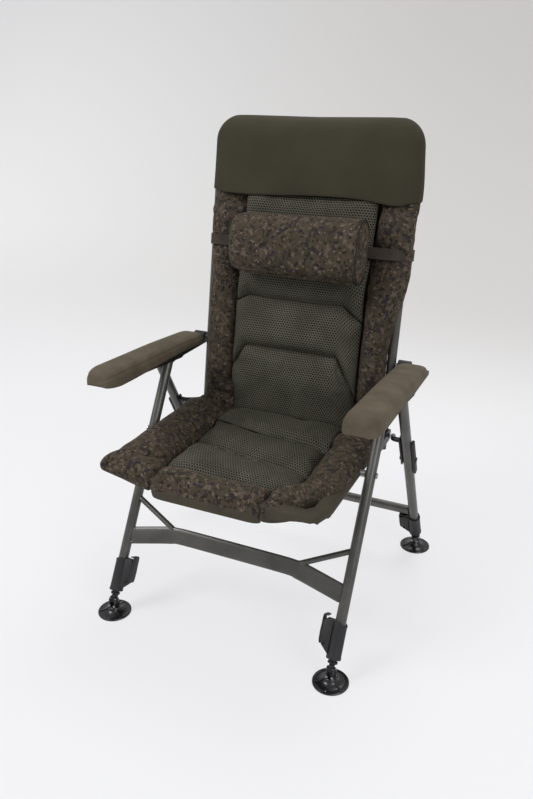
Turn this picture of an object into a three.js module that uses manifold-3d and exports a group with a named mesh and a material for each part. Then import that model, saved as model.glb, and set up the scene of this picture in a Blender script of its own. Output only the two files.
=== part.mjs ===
// Carp fishing chair: a reclining folding chair with a padded seat and back, padded arms and four
// telescopic legs on swivelling mud feet. Millimetres, +Z up, +Y to the rear of the chair.
// The origin is on the ground in the middle of the chair's footprint.

import * as THREE from 'three';
import { mergeVertices } from 'three/addons/utils/BufferGeometryUtils.js';
import Module from 'manifold-3d';

const wasm = await Module();
wasm.setup();

// Driving dimensions

const clearance = 0.3;              // gap between pieces that touch
const overrun = 2;                  // how far a cutter passes the face that it cuts

const stanceDepth = 587.5;          // front feet to rear feet
const frontLegX = 280;              // middle of a front leg tube
const rearLegX = 314.8;             // middle of a rear leg tube, outboard of the front one
const ankleHeight = 34;             // swivel of a mud foot
const apexY = 6;                    // pin where front and rear legs cross, under the arm
const apexHeight = 556;

const legRadius = 12;
const legWall = 1.6;
const innerLegRadius = 8.5;
const innerLegReach = 150;          // how far an inner leg runs up its tube

const frameX = 245;                 // middle of the seat and back tubes
const frameRadius = 11;
const seatHeight = 402;             // axis of the seat tubes
const seatReach = 304;              // middle of the chair to the axis of the seat's front bow
const seatFrontY = -seatReach;
const backHingeY = 132;             // axis of the back's hinge
const backLean = 119;               // how far the back leans over its length
const backLength = 700;             // hinge to the axis of the top bow
const backTail = 37;                // back tube below the hinge

const armPivotAbove = 18.95;        // arm pivot above the apex pin
const leanShare = backLean / backLength;
// Hinge to arm pivot along the back tube
const armPivotRun = (apexHeight + armPivotAbove - seatHeight) / Math.sqrt(1 - leanShare ** 2);
const armLength = 450;
const armRise = 26;                 // how much higher the arm's front end is

const pinRadius = 4;
const headRadius = 6.5;
const headHeight = 3;

// Materials, one for each finish

const finish = (color, roughness, metalness) =>
  new THREE.MeshStandardMaterial({ color, roughness, metalness });
const paintedSteel = finish(0x4d4f4b, 0.45, 0.6);
const blackSteel = finish(0x1d1e20, 0.5, 0.5);
const zincSteel = finish(0x8d8f92, 0.35, 0.9);
const blackNylon = finish(0x26272a, 0.6, 0);
const glossNylon = finish(0x17181a, 0.25, 0);
const armCloth = finish(0x6e6351, 0.9, 0);
const hoodCloth = finish(0x3e3b2b, 0.9, 0);
const camoCloth = finish(0x4a4033, 0.9, 0);
const meshCloth = finish(0x3c3b33, 0.9, 0);
const slingCloth = finish(0x4a4532, 0.9, 0);
const strapWebbing = finish(0x4a443c, 0.85, 0);

// Solids from three.js shapes

const chair = new THREE.Group();

function solidOf(geometry) {
  const bare = geometry.clone();
  bare.deleteAttribute('normal');
  bare.deleteAttribute('uv');
  const merged = mergeVertices(bare, clearance / 100);
  return new wasm.Manifold(new wasm.Mesh({
    numProp: 3,
    vertProperties: merged.attributes.position.array,
    triVerts: new Uint32Array(merged.index.array),
  }));
}

function geometryOf(solid) {
  const { vertProperties, triVerts } = solid.getMesh();
  const geometry = new THREE.BufferGeometry();
  geometry.setAttribute('position', new THREE.BufferAttribute(vertProperties, 3));
  geometry.setIndex(new THREE.BufferAttribute(triVerts, 1));
  geometry.computeVertexNormals();
  return geometry;
}

function joined(...geometries) {
  return geometryOf(geometries.map(solidOf).reduce((sum, solid) => sum.add(solid)));
}

function cut(geometry, ...cutters) {
  return geometryOf(cutters.map(solidOf).reduce((rest, solid) => rest.subtract(solid), solidOf(geometry)));
}

function addPiece(name, geometry, material, parent = chair) {
  const mesh = new THREE.Mesh(geometry, material);
  mesh.name = name;
  parent.add(mesh);
  return mesh;
}

const at = (x, y, z) => new THREE.Vector3(x, y, z);

function slab(low, high) {
  const size = high.clone().sub(low);
  const middle = high.clone().add(low).multiplyScalar(0.5);
  return new THREE.BoxGeometry(size.x, size.y, size.z).translate(middle.x, middle.y, middle.z);
}

function rod(from, to, radius, sides = 12) {
  const along = to.clone().sub(from);
  const middle = from.clone().add(to).multiplyScalar(0.5);
  const turn = new THREE.Quaternion().setFromUnitVectors(at(0, 1, 0), along.clone().normalize());
  return new THREE.CylinderGeometry(radius, radius, along.length(), sides)
    .applyQuaternion(turn)
    .translate(middle.x, middle.y, middle.z);
}

// A turned solid whose axis is Z; the profile is [radius, height] from the bottom up
function turned(profile, sides = 16) {
  const points = profile.map(([radius, height]) => new THREE.Vector2(radius, height));
  return new THREE.LatheGeometry(points, sides).rotateX(Math.PI / 2);
}

// A tube whose ends are open, between two heights
function pipe(outer, inner, low, high, sides = 12) {
  return turned([[inner, low], [outer, low], [outer, high], [inner, high], [inner, low]], sides);
}

// A plate whose outline lies in the YZ plane, thick along X from x0 to x1
function sidePlate(outline, x0, x1) {
  const shape = new THREE.Shape(outline.map(([y, z]) => new THREE.Vector2(y, z)));
  return new THREE.ExtrudeGeometry(shape, { depth: x1 - x0, bevelEnabled: false })
    .applyMatrix4(new THREE.Matrix4().makeBasis(at(0, 1, 0), at(0, 0, 1), at(1, 0, 0)))
    .translate(x0, 0, 0);
}

function roundPath(points, radius, steps) {
  const path = new THREE.CurvePath();
  let start = points[0];
  for (let i = 1; i < points.length - 1; i += 1) {
    const before = points[i - 1].clone().sub(points[i]).setLength(radius).add(points[i]);
    const after = points[i + 1].clone().sub(points[i]).setLength(radius).add(points[i]);
    path.add(new THREE.LineCurve3(start, before));
    path.add(new THREE.QuadraticBezierCurve3(before, points[i], after));
    start = after;
  }
  path.add(new THREE.LineCurve3(start, points[points.length - 1]));
  path.roundSteps = steps;
  return path;
}

// A bent tube: rings stand at the ends of the straight runs and round each bend
function bentTube(path, radius, sides = 12) {
  const circle = new THREE.Shape().absarc(0, 0, radius, 0, Math.PI * 2);
  const stops = [];
  path.curves.forEach((curve, index) => {
    const count = curve.isLineCurve3 ? 1 : path.roundSteps;
    for (let i = 0; i < count; i += 1) stops.push(curve.getPoint(i / count));
    if (index === path.curves.length - 1) stops.push(curve.getPoint(1));
  });
  const trail = new THREE.CatmullRomCurve3(stops, false, 'centripetal');
  trail.getPointAt = (t) => trail.getPoint(t);
  trail.getTangentAt = (t) => trail.getTangent(t);
  return new THREE.ExtrudeGeometry(circle, {
    steps: stops.length - 1, extrudePath: trail, curveSegments: sides / 2, bevelEnabled: false,
  });
}

// A closed solid between an upper and a lower sheet that meet in a narrow wall all round
function sheetSolid(across, along, upper, lower) {
  const positions = [];
  const faces = [];
  const columns = across + 1;
  const layer = columns * (along + 1);
  for (const sheet of [upper, lower]) {
    for (let j = 0; j <= along; j += 1) {
      for (let i = 0; i < columns; i += 1) {
        const point = sheet(2 * i / across - 1, 2 * j / along - 1);
        positions.push(point.x, point.y, point.z);
      }
    }
  }
  const quad = (a, b, c, d) => faces.push(a, b, c, a, c, d);
  for (let j = 0; j < along; j += 1) {
    for (let i = 0; i < across; i += 1) {
      const a = j * columns + i;
      quad(a, a + 1, a + 1 + columns, a + columns);
      quad(layer + a, layer + a + columns, layer + a + 1 + columns, layer + a + 1);
    }
  }
  for (let i = 0; i < across; i += 1) {
    const far = along * columns + i;
    quad(layer + i, layer + i + 1, i + 1, i);
    quad(far, far + 1, layer + far + 1, layer + far);
  }
  for (let j = 0; j < along; j += 1) {
    const left = j * columns;
    const right = left + across;
    quad(left, left + columns, layer + left + columns, layer + left);
    quad(layer + right, layer + right + columns, right + columns, right);
  }
  const geometry = new THREE.BufferGeometry();
  geometry.setAttribute('position', new THREE.Float32BufferAttribute(positions, 3));
  geometry.setIndex(faces);
  geometry.computeVertexNormals();
  return geometry;
}

const { lerp, smoothstep, clamp } = THREE.MathUtils;
// One smooth hump over a span, 1 in its middle and 0 at and past its ends
const hump = (value, low, high) => Math.sin(Math.PI * clamp((value - low) / (high - low), 0, 1));
// A quarter round over a run, 0 at its start and 1 from its end on
const quarter = (value, run) => Math.sqrt(1 - (1 - clamp(value / run, 0, 1)) ** 2);

// Places and turned frames

const front = -stanceDepth / 2;
const rear = stanceDepth / 2;
const sides = [{ name: 'left', sign: -1 }, { name: 'right', sign: 1 }];

// Each leg has a frame of its own: Z runs up the leg from the ankle, X points inward
function legFrame(sign, footX, footY) {
  const foot = at(sign * footX, footY, ankleHeight);
  const top = at(sign * footX, apexY, apexHeight);
  const up = top.clone().sub(foot).normalize();
  const inward = at(-sign, 0, 0);
  const group = new THREE.Group();
  group.matrixAutoUpdate = false;
  group.matrix.makeBasis(inward, up.clone().cross(inward), up).setPosition(foot);
  chair.add(group);
  return group;
}

const frontLegRun = Math.hypot(apexY - front, apexHeight - ankleHeight);
const rearLegRun = Math.hypot(rear - apexY, apexHeight - ankleHeight);
const frontPlace = (height) => lerp(front, apexY, (height - ankleHeight) / (apexHeight - ankleHeight));
const frontRun = (height) => frontLegRun * (height - ankleHeight) / (apexHeight - ankleHeight);
const rearRun = (height) => rearLegRun * (height - ankleHeight) / (apexHeight - ankleHeight);

const backGroup = new THREE.Group();
backGroup.position.set(0, backHingeY, seatHeight);
backGroup.rotation.x = -Math.asin(leanShare);
chair.add(backGroup);
backGroup.updateMatrixWorld(true);
const armPivot = at(0, 0, armPivotRun).applyMatrix4(backGroup.matrixWorld);

// Legs: tube, plug, clamp housing, clamp lever, inner leg and mud foot at each corner

const leg = {
  tubeStart: 30,                    // lower end of the outer tube above the ankle
  topReach: 8,                      // tube past the apex pin
  plugHeight: 2.5,
  plugDepth: 3,
  boltLow: 20,                      // tongue and fork
  tongueHalf: 5,
  tongueRadius: 7.5,
  neckStart: 12,
  collarRadius: 11,
  collarLow: 15,
  collarHigh: 19.5,
};
const latch = {
  low: 21,
  high: 104,
  radius: 15.5,
  collarHigh: 29,
  cheekThick: 3,
  cheekGap: 11,
  reach: 34,
  reachLow: 56,
  slantLow: 30,
  pivotOut: 27,
  pivotHigh: 54,
  leverInset: 18.6,
  tabHigh: 8,
  tabThick: 2.4,
  skinThick: 3.2,
};
const foot = {
  radius: 40,
  rim: 3.5,
  dish: 7,
  dishRadius: 26,
  hubRadius: 13,
  hubHeight: 17,
  earThick: 4,
  earRadius: 8,
  holeRadius: 2.4,
  holeOut: 31,
};

// Outer leg tube with the cross holes of its pins, at places along the leg
function legTube(length, holes) {
  const tube = pipe(legRadius, legRadius - legWall, leg.tubeStart, length);
  const reach = legRadius + overrun;
  const bore = (run) => rod(at(-reach, 0, run), at(reach, 0, run), pinRadius + clearance);
  return cut(tube, ...holes.map(bore));
}

function clampHousing() {
  const sleeve = turned([
    [innerLegRadius + clearance, latch.low],
    [latch.radius, latch.low],
    [latch.radius, latch.high],
    [legRadius + clearance, latch.high],
    [legRadius + clearance, leg.tubeStart - clearance],
    [innerLegRadius + clearance, leg.tubeStart - clearance],
    [innerLegRadius + clearance, latch.low],
  ]);
  const outline = new THREE.Shape([
    new THREE.Vector2(legRadius + latch.cheekThick / 2, latch.slantLow),
    new THREE.Vector2(latch.reach, latch.reachLow),
    new THREE.Vector2(latch.reach, latch.high - latch.cheekThick),
    new THREE.Vector2(latch.reach - latch.cheekThick, latch.high),
    new THREE.Vector2(legRadius + latch.cheekThick / 2, latch.high),
  ]);
  const flat = { depth: latch.cheekThick, bevelEnabled: false };
  const cheek = (y) => new THREE.ExtrudeGeometry(outline, flat)
    .rotateX(Math.PI / 2)
    .translate(0, y, 0);
  const half = latch.cheekGap / 2;
  const housing = joined(sleeve, cheek(-half), cheek(half + latch.cheekThick));
  const reach = half + latch.cheekThick + overrun;
  const bore = rod(
    at(latch.pivotOut, -reach, latch.pivotHigh),
    at(latch.pivotOut, reach, latch.pivotHigh),
    pinRadius / 2 + clearance);
  return cut(housing, bore);
}

// Cam lever: a curved skin over the cheeks' edge, a latch body between them, its pin and a finger tab
function clampLever() {
  const half = latch.cheekGap / 2 - clearance;
  const wide = latch.cheekGap / 2 + latch.cheekThick;
  const face = latch.reach + clearance;
  const body = new THREE.Shape([
    new THREE.Vector2(latch.leverInset, latch.pivotHigh - latch.skinThick),
    new THREE.Vector2(face, latch.reachLow - latch.skinThick * 2),
    new THREE.Vector2(face, latch.high - latch.tabHigh),
    new THREE.Vector2(latch.leverInset + latch.skinThick, latch.high - latch.tabHigh * 2),
  ]);
  const heel = new THREE.ExtrudeGeometry(body, { depth: half * 2, bevelEnabled: false })
    .rotateX(Math.PI / 2)
    .translate(0, half, 0);
  const skin = slab(at(face, -wide, latch.reachLow), at(face + latch.skinThick, wide, latch.high));
  const tab = slab(
    at(face + latch.skinThick - latch.tabThick, -wide, latch.high - latch.tabThick),
    at(face + latch.skinThick, wide, latch.high + latch.tabHigh));
  const grip = slab(
    at(face - latch.tabHigh, -wide, latch.high + latch.tabHigh - latch.tabThick),
    at(face + latch.skinThick, wide, latch.high + latch.tabHigh));
  const reach = wide + latch.tabThick;
  const pin = rod(at(latch.pivotOut, -reach, latch.pivotHigh), at(latch.pivotOut, reach, latch.pivotHigh),
    pinRadius / 2);
  const link = slab(at(latch.reach - latch.skinThick, -half, latch.reachLow),
    at(face + latch.skinThick, half, latch.high - latch.tabHigh));
  return joined(heel, link, skin, tab, grip, pin);
}

// Inner leg: tongue at the ankle, neck with a collar, and the sliding tube
function innerLeg() {
  const tongue = rod(at(-leg.tongueHalf, 0, 0), at(leg.tongueHalf, 0, 0), leg.tongueRadius);
  const shank = slab(
    at(-leg.tongueHalf, -leg.tongueRadius, 0),
    at(leg.tongueHalf, leg.tongueRadius, leg.neckStart));
  const tube = turned([
    [0, leg.neckStart - clearance],
    [innerLegRadius, leg.neckStart - clearance],
    [innerLegRadius, leg.collarLow],
    [leg.collarRadius, leg.collarLow],
    [leg.collarRadius, leg.collarHigh],
    [innerLegRadius, leg.collarHigh],
    [innerLegRadius, innerLegReach],
    [0, innerLegReach],
  ], 12);
  const reach = leg.tongueHalf + overrun;
  const bore = rod(at(-reach, 0, 0), at(reach, 0, 0), pinRadius / 2 + clearance);
  return cut(joined(tongue, shank, tube), bore);
}

// Mud foot: dished disc, hub, fork and fork pin; it lies flat on the ground under the ankle
function mudFoot() {
  const disc = turned([
    [0, 0], [foot.radius, 0], [foot.radius, foot.rim], [foot.dishRadius, foot.dish],
    [foot.hubRadius, foot.hubHeight], [0, foot.hubHeight],
  ], 20);
  const inner = leg.tongueHalf + clearance;
  const ears = [-1, 1].flatMap((sign) => {
    const near = sign * inner;
    const far = sign * (inner + foot.earThick);
    return [
      rod(at(near, 0, ankleHeight), at(far, 0, ankleHeight), foot.earRadius),
      slab(at(Math.min(near, far), -foot.earRadius, foot.hubHeight / 2),
        at(Math.max(near, far), foot.earRadius, ankleHeight)),
    ];
  });
  const reach = inner + foot.earThick + pinRadius / 2;
  const pin = rod(at(-reach, 0, ankleHeight), at(reach, 0, ankleHeight), pinRadius / 2);
  const hole = rod(
    at(0, -foot.holeOut, -overrun),
    at(0, -foot.holeOut, foot.dish + overrun), foot.holeRadius);
  return cut(joined(disc, ...ears, pin), hole);
}

const seatPinRun = frontRun(seatHeight);
const lockRun = rearRun(seatHeight - frameRadius * 4);
const corners = sides.flatMap(({ name, sign }) => [
  { end: 'front', name, sign, x: frontLegX, y: front, run: frontLegRun, holes: [frontLegRun, seatPinRun] },
  { end: 'rear', name, sign, x: rearLegX, y: rear, run: rearLegRun, holes: [rearLegRun, lockRun] },
]);
function legPlug(top) {
  const inner = legRadius - legWall - clearance;
  const seat = top + leg.plugHeight / 2;
  const high = top + leg.plugHeight;
  return joined(
    turned([[0, top - leg.plugDepth], [inner, top - leg.plugDepth], [inner, seat], [0, seat]], 12),
    turned([[0, top + clearance], [legRadius, top + clearance], [legRadius - legWall, high], [0, high]], 12));
}
for (const corner of corners) {
  const { sign, x, y } = corner;
  const place = `${corner.end}_${corner.name}`;
  const top = corner.run + leg.topReach;
  corner.group = legFrame(sign, x, y);
  addPiece(`leg_tube_${place}`, legTube(top, corner.holes), paintedSteel, corner.group);
  addPiece(`leg_plug_${place}`, legPlug(top), blackNylon, corner.group);
  addPiece(`leg_clamp_${place}`, clampHousing(), blackNylon, corner.group);
  addPiece(`clamp_lever_${place}`, clampLever(), blackNylon, corner.group);
  addPiece(`inner_leg_${place}`, innerLeg(), blackSteel, corner.group);
  addPiece(`mud_foot_${place}`, mudFoot(), glossNylon).position.set(sign * x, y, 0);
}

// Front frame: arched bar and its two braces, in the plane of the front legs

const arch = {
  legLow: 141,                      // where the bar meets a leg, up the leg
  legHigh: 182,
  bendX: 155,
  bendLow: 171,
  bendHigh: 206,
  thick: 10,
  braceLeg: 243,
  braceX: 165,
  braceRadius: 5,
};
const frontPlane = new THREE.Group();
frontPlane.position.set(0, front, ankleHeight);
frontPlane.rotation.x = -Math.atan2(apexY - front, apexHeight - ankleHeight);
chair.add(frontPlane);
// The room of a leg tube, which the bars between two legs are cut to
const legRoomAt = (x, run) => rod(at(x, 0, 0), at(x, 0, run), legRadius + clearance, 16);
const frontTube = (sign) => legRoomAt(sign * frontLegX, frontLegRun);

function archBar() {
  const shape = new THREE.Shape([
    new THREE.Vector2(-frontLegX, arch.legLow),
    new THREE.Vector2(-arch.bendX, arch.bendLow),
    new THREE.Vector2(arch.bendX, arch.bendLow),
    new THREE.Vector2(frontLegX, arch.legLow),
    new THREE.Vector2(frontLegX, arch.legHigh),
    new THREE.Vector2(arch.bendX, arch.bendHigh),
    new THREE.Vector2(-arch.bendX, arch.bendHigh),
    new THREE.Vector2(-frontLegX, arch.legHigh),
  ]);
  const bevel = arch.thick / 4;
  const bar = new THREE.ExtrudeGeometry(shape, {
    depth: arch.thick - 2 * bevel,
    bevelThickness: bevel,
    bevelSize: bevel,
    bevelOffset: -bevel,
    bevelSegments: 2,
  }).rotateX(Math.PI / 2).translate(0, arch.thick / 2 - bevel, 0);
  return cut(bar, frontTube(-1), frontTube(1));
}
addPiece('front_arch_bar', archBar(), paintedSteel, frontPlane);

const archTop = slab(
  at(-arch.bendX - arch.thick * 3, -arch.thick, arch.legLow),
  at(arch.bendX + arch.thick * 3, arch.thick, arch.bendHigh + clearance));
for (const { name, sign } of sides) {
  const legEnd = at(sign * frontLegX, 0, arch.braceLeg + arch.thick);
  const archEnd = at(sign * arch.braceX, 0, arch.bendHigh - arch.thick);
  const brace = rod(legEnd, archEnd, arch.braceRadius);
  addPiece(`front_brace_${name}`, cut(brace, frontTube(sign), archTop), paintedSteel, frontPlane);
}

// Rear frame: flat cross bar between the rear legs

const rearBar = {
  height: 147,                      // its middle above the ground
  tall: 25,
  deep: 15,
};
const rearPlane = new THREE.Group();
rearPlane.position.set(0, rear, ankleHeight);
rearPlane.rotation.x = Math.atan2(rear - apexY, apexHeight - ankleHeight);
chair.add(rearPlane);
const rearTube = (sign) => legRoomAt(sign * rearLegX, rearLegRun);
addPiece('rear_cross_bar', cut(
  slab(at(-rearLegX, -rearBar.deep / 2, rearRun(rearBar.height) - rearBar.tall / 2),
    at(rearLegX, rearBar.deep / 2, rearRun(rearBar.height) + rearBar.tall / 2)),
  rearTube(-1), rearTube(1),
), paintedSteel, rearPlane);

// Apex pins, with a spacer between the front and rear legs

const arm = {
  innerRoom: 6,                     // base, past the front leg on its inner side
  outerRoom: 6.6,                   // and past the rear leg on its outer side
  wall: 2,
  padInnerLap: 3.7,
  padOuterLap: 4.6,
};
arm.inner = frontLegX - legRadius - arm.innerRoom;
arm.outer = rearLegX + legRadius + arm.outerRoom;
arm.padInner = arm.inner - arm.padInnerLap;
arm.padOuter = arm.outer + arm.padOuterLap;
const pinInset = arm.wall + clearance * 2;
for (const { name, sign } of sides) {
  const shaft = rod(
    at(sign * (arm.inner + pinInset), apexY, apexHeight),
    at(sign * (arm.outer - pinInset), apexY, apexHeight), pinRadius);
  const spacer = rod(
    at(sign * (frontLegX + legRadius + clearance), apexY, apexHeight),
    at(sign * (rearLegX - legRadius - clearance), apexY, apexHeight), pinRadius * 2);
  addPiece(`apex_pin_${name}`, joined(shaft, spacer), zincSteel);
}

// Seat frame: two rails, the front bow and a rear bar, with hinge plates outside the rails

const seat = {
  cornerRadius: 40,
  bowRun: 6,                        // straight end of the bow, to its joint with the rail
  railRear: 88,
  rearBarY: 30,
  rearBarRadius: 8,
  plateThick: 4,
  plateHalf: 15,
  plateFront: 40,
  foldPinY: 58,                     // the plates turn here when the back folds forward
};
seat.railFront = seatFrontY + seat.cornerRadius + seat.bowRun;
const seatGroup = new THREE.Group();
seatGroup.position.set(0, 0, seatHeight);
chair.add(seatGroup);
const seatPinY = frontPlace(seatHeight);
const railHole = rod(at(-frameX * 2, seatPinY, 0), at(frameX * 2, seatPinY, 0), pinRadius + clearance);
const foldHole = rod(
  at(-frameX * 2, seat.foldPinY, 0),
  at(frameX * 2, seat.foldPinY, 0), pinRadius + clearance);
for (const { name, sign } of sides) {
  const rail = rod(
    at(sign * frameX, seat.railFront + clearance, 0),
    at(sign * frameX, seat.railRear, 0), frameRadius, 16);
  addPiece(`seat_rail_${name}`, cut(rail, railHole, foldHole), paintedSteel, seatGroup);
}
const seatBow = (radius) => bentTube(roundPath([
  at(-frameX, seat.railFront, 0),
  at(-frameX, seatFrontY, 0),
  at(frameX, seatFrontY, 0),
  at(frameX, seat.railFront, 0),
], seat.cornerRadius, 4), radius);
addPiece('seat_front_bow', seatBow(frameRadius), paintedSteel, seatGroup);
const railEdge = frameX - frameRadius - clearance;
const rearBarRod = rod(
  at(-railEdge, seat.rearBarY, 0),
  at(railEdge, seat.rearBarY, 0), seat.rearBarRadius);
addPiece('seat_rear_bar', rearBarRod, paintedSteel, seatGroup);

const hingeHole = rod(at(-frameX * 2, backHingeY, 0), at(frameX * 2, backHingeY, 0), pinRadius + clearance);
const plateInner = frameX + frameRadius + clearance;
for (const { name, sign } of sides) {
  const x0 = Math.min(sign * plateInner, sign * (plateInner + seat.plateThick));
  const half = seat.plateHalf;
  const plate = joined(
    sidePlate([
      [seat.plateFront, -half / 2],
      [seat.plateFront + half, -half],
      [backHingeY, -half],
      [backHingeY, half],
      [seat.plateFront + half, half],
      [seat.plateFront, half / 2],
    ], x0, x0 + seat.plateThick),
    rod(at(x0, backHingeY, 0), at(x0 + seat.plateThick, backHingeY, 0), half, 20));
  // A rivet, one with the plate, turns in the rail and ends flush with its inner side
  const rivet = rod(
    at(sign * (frameX - frameRadius), seat.foldPinY, 0),
    at(sign * (plateInner + seat.plateThick / 2), seat.foldPinY, 0), pinRadius);
  addPiece(`seat_hinge_plate_${name}`, joined(cut(plate, hingeHole), rivet), blackSteel, seatGroup);
}

// Bolts that run along X: a shaft with a head at each end
function crossBolt(sign, inner, outer, y, z) {
  return joined(
    rod(at(sign * inner, y, z), at(sign * outer, y, z), pinRadius),
    rod(at(sign * inner, y, z), at(sign * (inner - headHeight), y, z), headRadius, 6),
    rod(at(sign * outer, y, z), at(sign * (outer + headHeight), y, z), headRadius, 12));
}
for (const { name, sign } of sides) {
  const spacer = rod(
    at(sign * (frameX + frameRadius + clearance), seatPinY, 0),
    at(sign * (frontLegX - legRadius - clearance), seatPinY, 0), pinRadius * 2);
  const inner = frameX - frameRadius - clearance;
  const seatBolt = crossBolt(sign, inner, frontLegX + legRadius + clearance, seatPinY, 0);
  const backBolt = crossBolt(sign, inner, plateInner + seat.plateThick + clearance, backHingeY, 0);
  addPiece(`seat_bolt_${name}`, joined(seatBolt, spacer), zincSteel, seatGroup);
  addPiece(`back_bolt_${name}`, backBolt, zincSteel, seatGroup);
}

// Lock links: a bent arm from each rear leg towards the back hinge, and the lever that frees it

const lock = {
  plateThick: 4,
  plateHalf: 9,
  armRadius: 6,
  armHeight: 418,                   // where the arm leaves the leg
  tipGap: 1,
  bendShare: 0.4,                   // how far towards the leg the arm bends
  leverThick: 6,
  leverHalf: 7,
  leverUp: 68,
  leverDown: 50,
};
const linkLow = lockRun - lock.plateHalf * 2;
const linkHigh = rearRun(lock.armHeight) + lock.plateHalf;
const legInside = legRadius + clearance;
function lockLink({ sign, group }) {
  const far = legInside + lock.plateThick;
  const plate = slab(at(legInside, -lock.plateHalf, linkLow), at(far, lock.plateHalf, linkHigh));
  const boltBore = rod(at(-legRadius * 2, 0, lockRun), at(legRadius * 2, 0, lockRun), pinRadius + clearance);
  const tipX = plateInner + seat.plateThick + headHeight + lock.armRadius + lock.tipGap;
  const tip = at(sign * tipX, backHingeY, seatHeight).applyMatrix4(group.matrix.clone().invert());
  const root = at(legInside + lock.plateThick / 2, 0, rearRun(lock.armHeight));
  const bend = at(tip.x, root.y, root.z).lerp(root, lock.bendShare);
  const reach = bentTube(roundPath([root, bend, tip], lock.armRadius * 2, 3), lock.armRadius, 10);
  const legRoom = rod(at(0, 0, linkLow), at(0, 0, linkHigh), legInside, 24);
  return cut(joined(plate, reach), boltBore, legRoom);
}
function lockLever() {
  const outer = -legInside;
  const face = outer - lock.leverThick;
  const nut = legInside + lock.plateThick + clearance;
  return joined(
    slab(
      at(face, -lock.leverHalf, lockRun - lock.leverDown),
      at(outer, lock.leverHalf, lockRun + lock.leverUp)),
    rod(at(face - headHeight, 0, lockRun), at(outer, 0, lockRun), headRadius, 16),
    rod(at(face, 0, lockRun), at(nut + headHeight, 0, lockRun), pinRadius),
    rod(at(nut, 0, lockRun), at(nut + headHeight, 0, lockRun), headRadius, 16));
}
for (const corner of corners.filter(({ end }) => end === 'rear')) {
  addPiece(`lock_link_${corner.name}`, lockLink(corner), blackSteel, corner.group);
  addPiece(`lock_lever_${corner.name}`, lockLever(), blackNylon, corner.group);
}

// Back frame: two tubes joined by the top bow

const back = {
  bowLeg: 90,                       // end of the bow below its axis
  cornerRadius: 62,
};
back.bowStart = backLength - back.bowLeg;
const backHoles = [0, armPivotRun].map((run) =>
  rod(at(-frameX * 2, 0, run), at(frameX * 2, 0, run), pinRadius + clearance));
for (const { name, sign } of sides) {
  const tube = rod(
    at(sign * frameX, 0, -backTail),
    at(sign * frameX, 0, back.bowStart - clearance), frameRadius, 16);
  addPiece(`back_tube_${name}`, cut(tube, ...backHoles), paintedSteel, backGroup);
}
const backBow = (start, radius) => bentTube(roundPath([
  at(-frameX, 0, start),
  at(-frameX, 0, backLength),
  at(frameX, 0, backLength),
  at(frameX, 0, start),
], back.cornerRadius, 4), radius);
addPiece('back_top_bow', backBow(back.bowStart, frameRadius), paintedSteel, backGroup);

// Arms: moulded base with a notched rack, pivot bolt and padded cover

Object.assign(arm, {
  roofAbove: 17,                    // roof of the base above the apex pin
  roofThick: 3,
  rearEnd: 14,
  noseRoom: 30,                     // cover past the base's front end
  shoulderLead: 26,                 // from the rack to where the base gets shallower
  shoulderRun: 10,
  shallow: 14,
  deep: 32,
  frontDeep: 22,
  frontTaper: 30,
  rackStart: 16.5,                  // rack behind the apex pin
  rackLength: 124,
  notchPitch: 20,
  notchDepth: 4,
  notchHalf: 4,
  lugRadius: 12,
  lugWide: 30,
  padRear: -19,
  padCrown: 24,                     // cloth above the roof
  padSide: 12,                      // cloth below the roof at the sides
  padFrontDrop: 19,
});
const armTilt = Math.atan2(armRise, armLength);
const armFrame = new THREE.Matrix4().makeRotationX(-armTilt).setPosition(armPivot);
const pinInArm = at(0, apexY, apexHeight).applyMatrix4(armFrame.clone().invert());
arm.frontEnd = arm.noseRoom - armLength;
arm.rackRear = pinInArm.y + arm.rackStart;
arm.rackFront = arm.rackRear - arm.rackLength;
arm.shoulder = arm.rackRear + arm.shoulderLead;
const roof = pinInArm.z + arm.roofAbove;
const crest = pinInArm.z + pinRadius + clearance;

// Rack rib: its lower edge is the crest line, with notches cut up into it
function rackRib(x0, x1) {
  const rib = sidePlate([[arm.rackFront, crest], [arm.rackRear, crest], [arm.rackRear, roof + clearance],
    [arm.rackFront, roof + clearance]], x0, x1);
  const count = Math.floor((pinInArm.y - arm.rackFront) / arm.notchPitch);
  const notches = [];
  for (let i = 0; i < count; i += 1) {
    const y = pinInArm.y - i * arm.notchPitch;
    notches.push(sidePlate([[y - arm.notchHalf, crest - overrun], [y + arm.notchHalf, crest - overrun],
      [y + arm.notchHalf, crest], [y, crest + arm.notchDepth], [y - arm.notchHalf, crest + arm.notchDepth]],
    x0 - overrun, x1 + overrun));
  }
  return cut(rib, ...notches);
}

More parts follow.
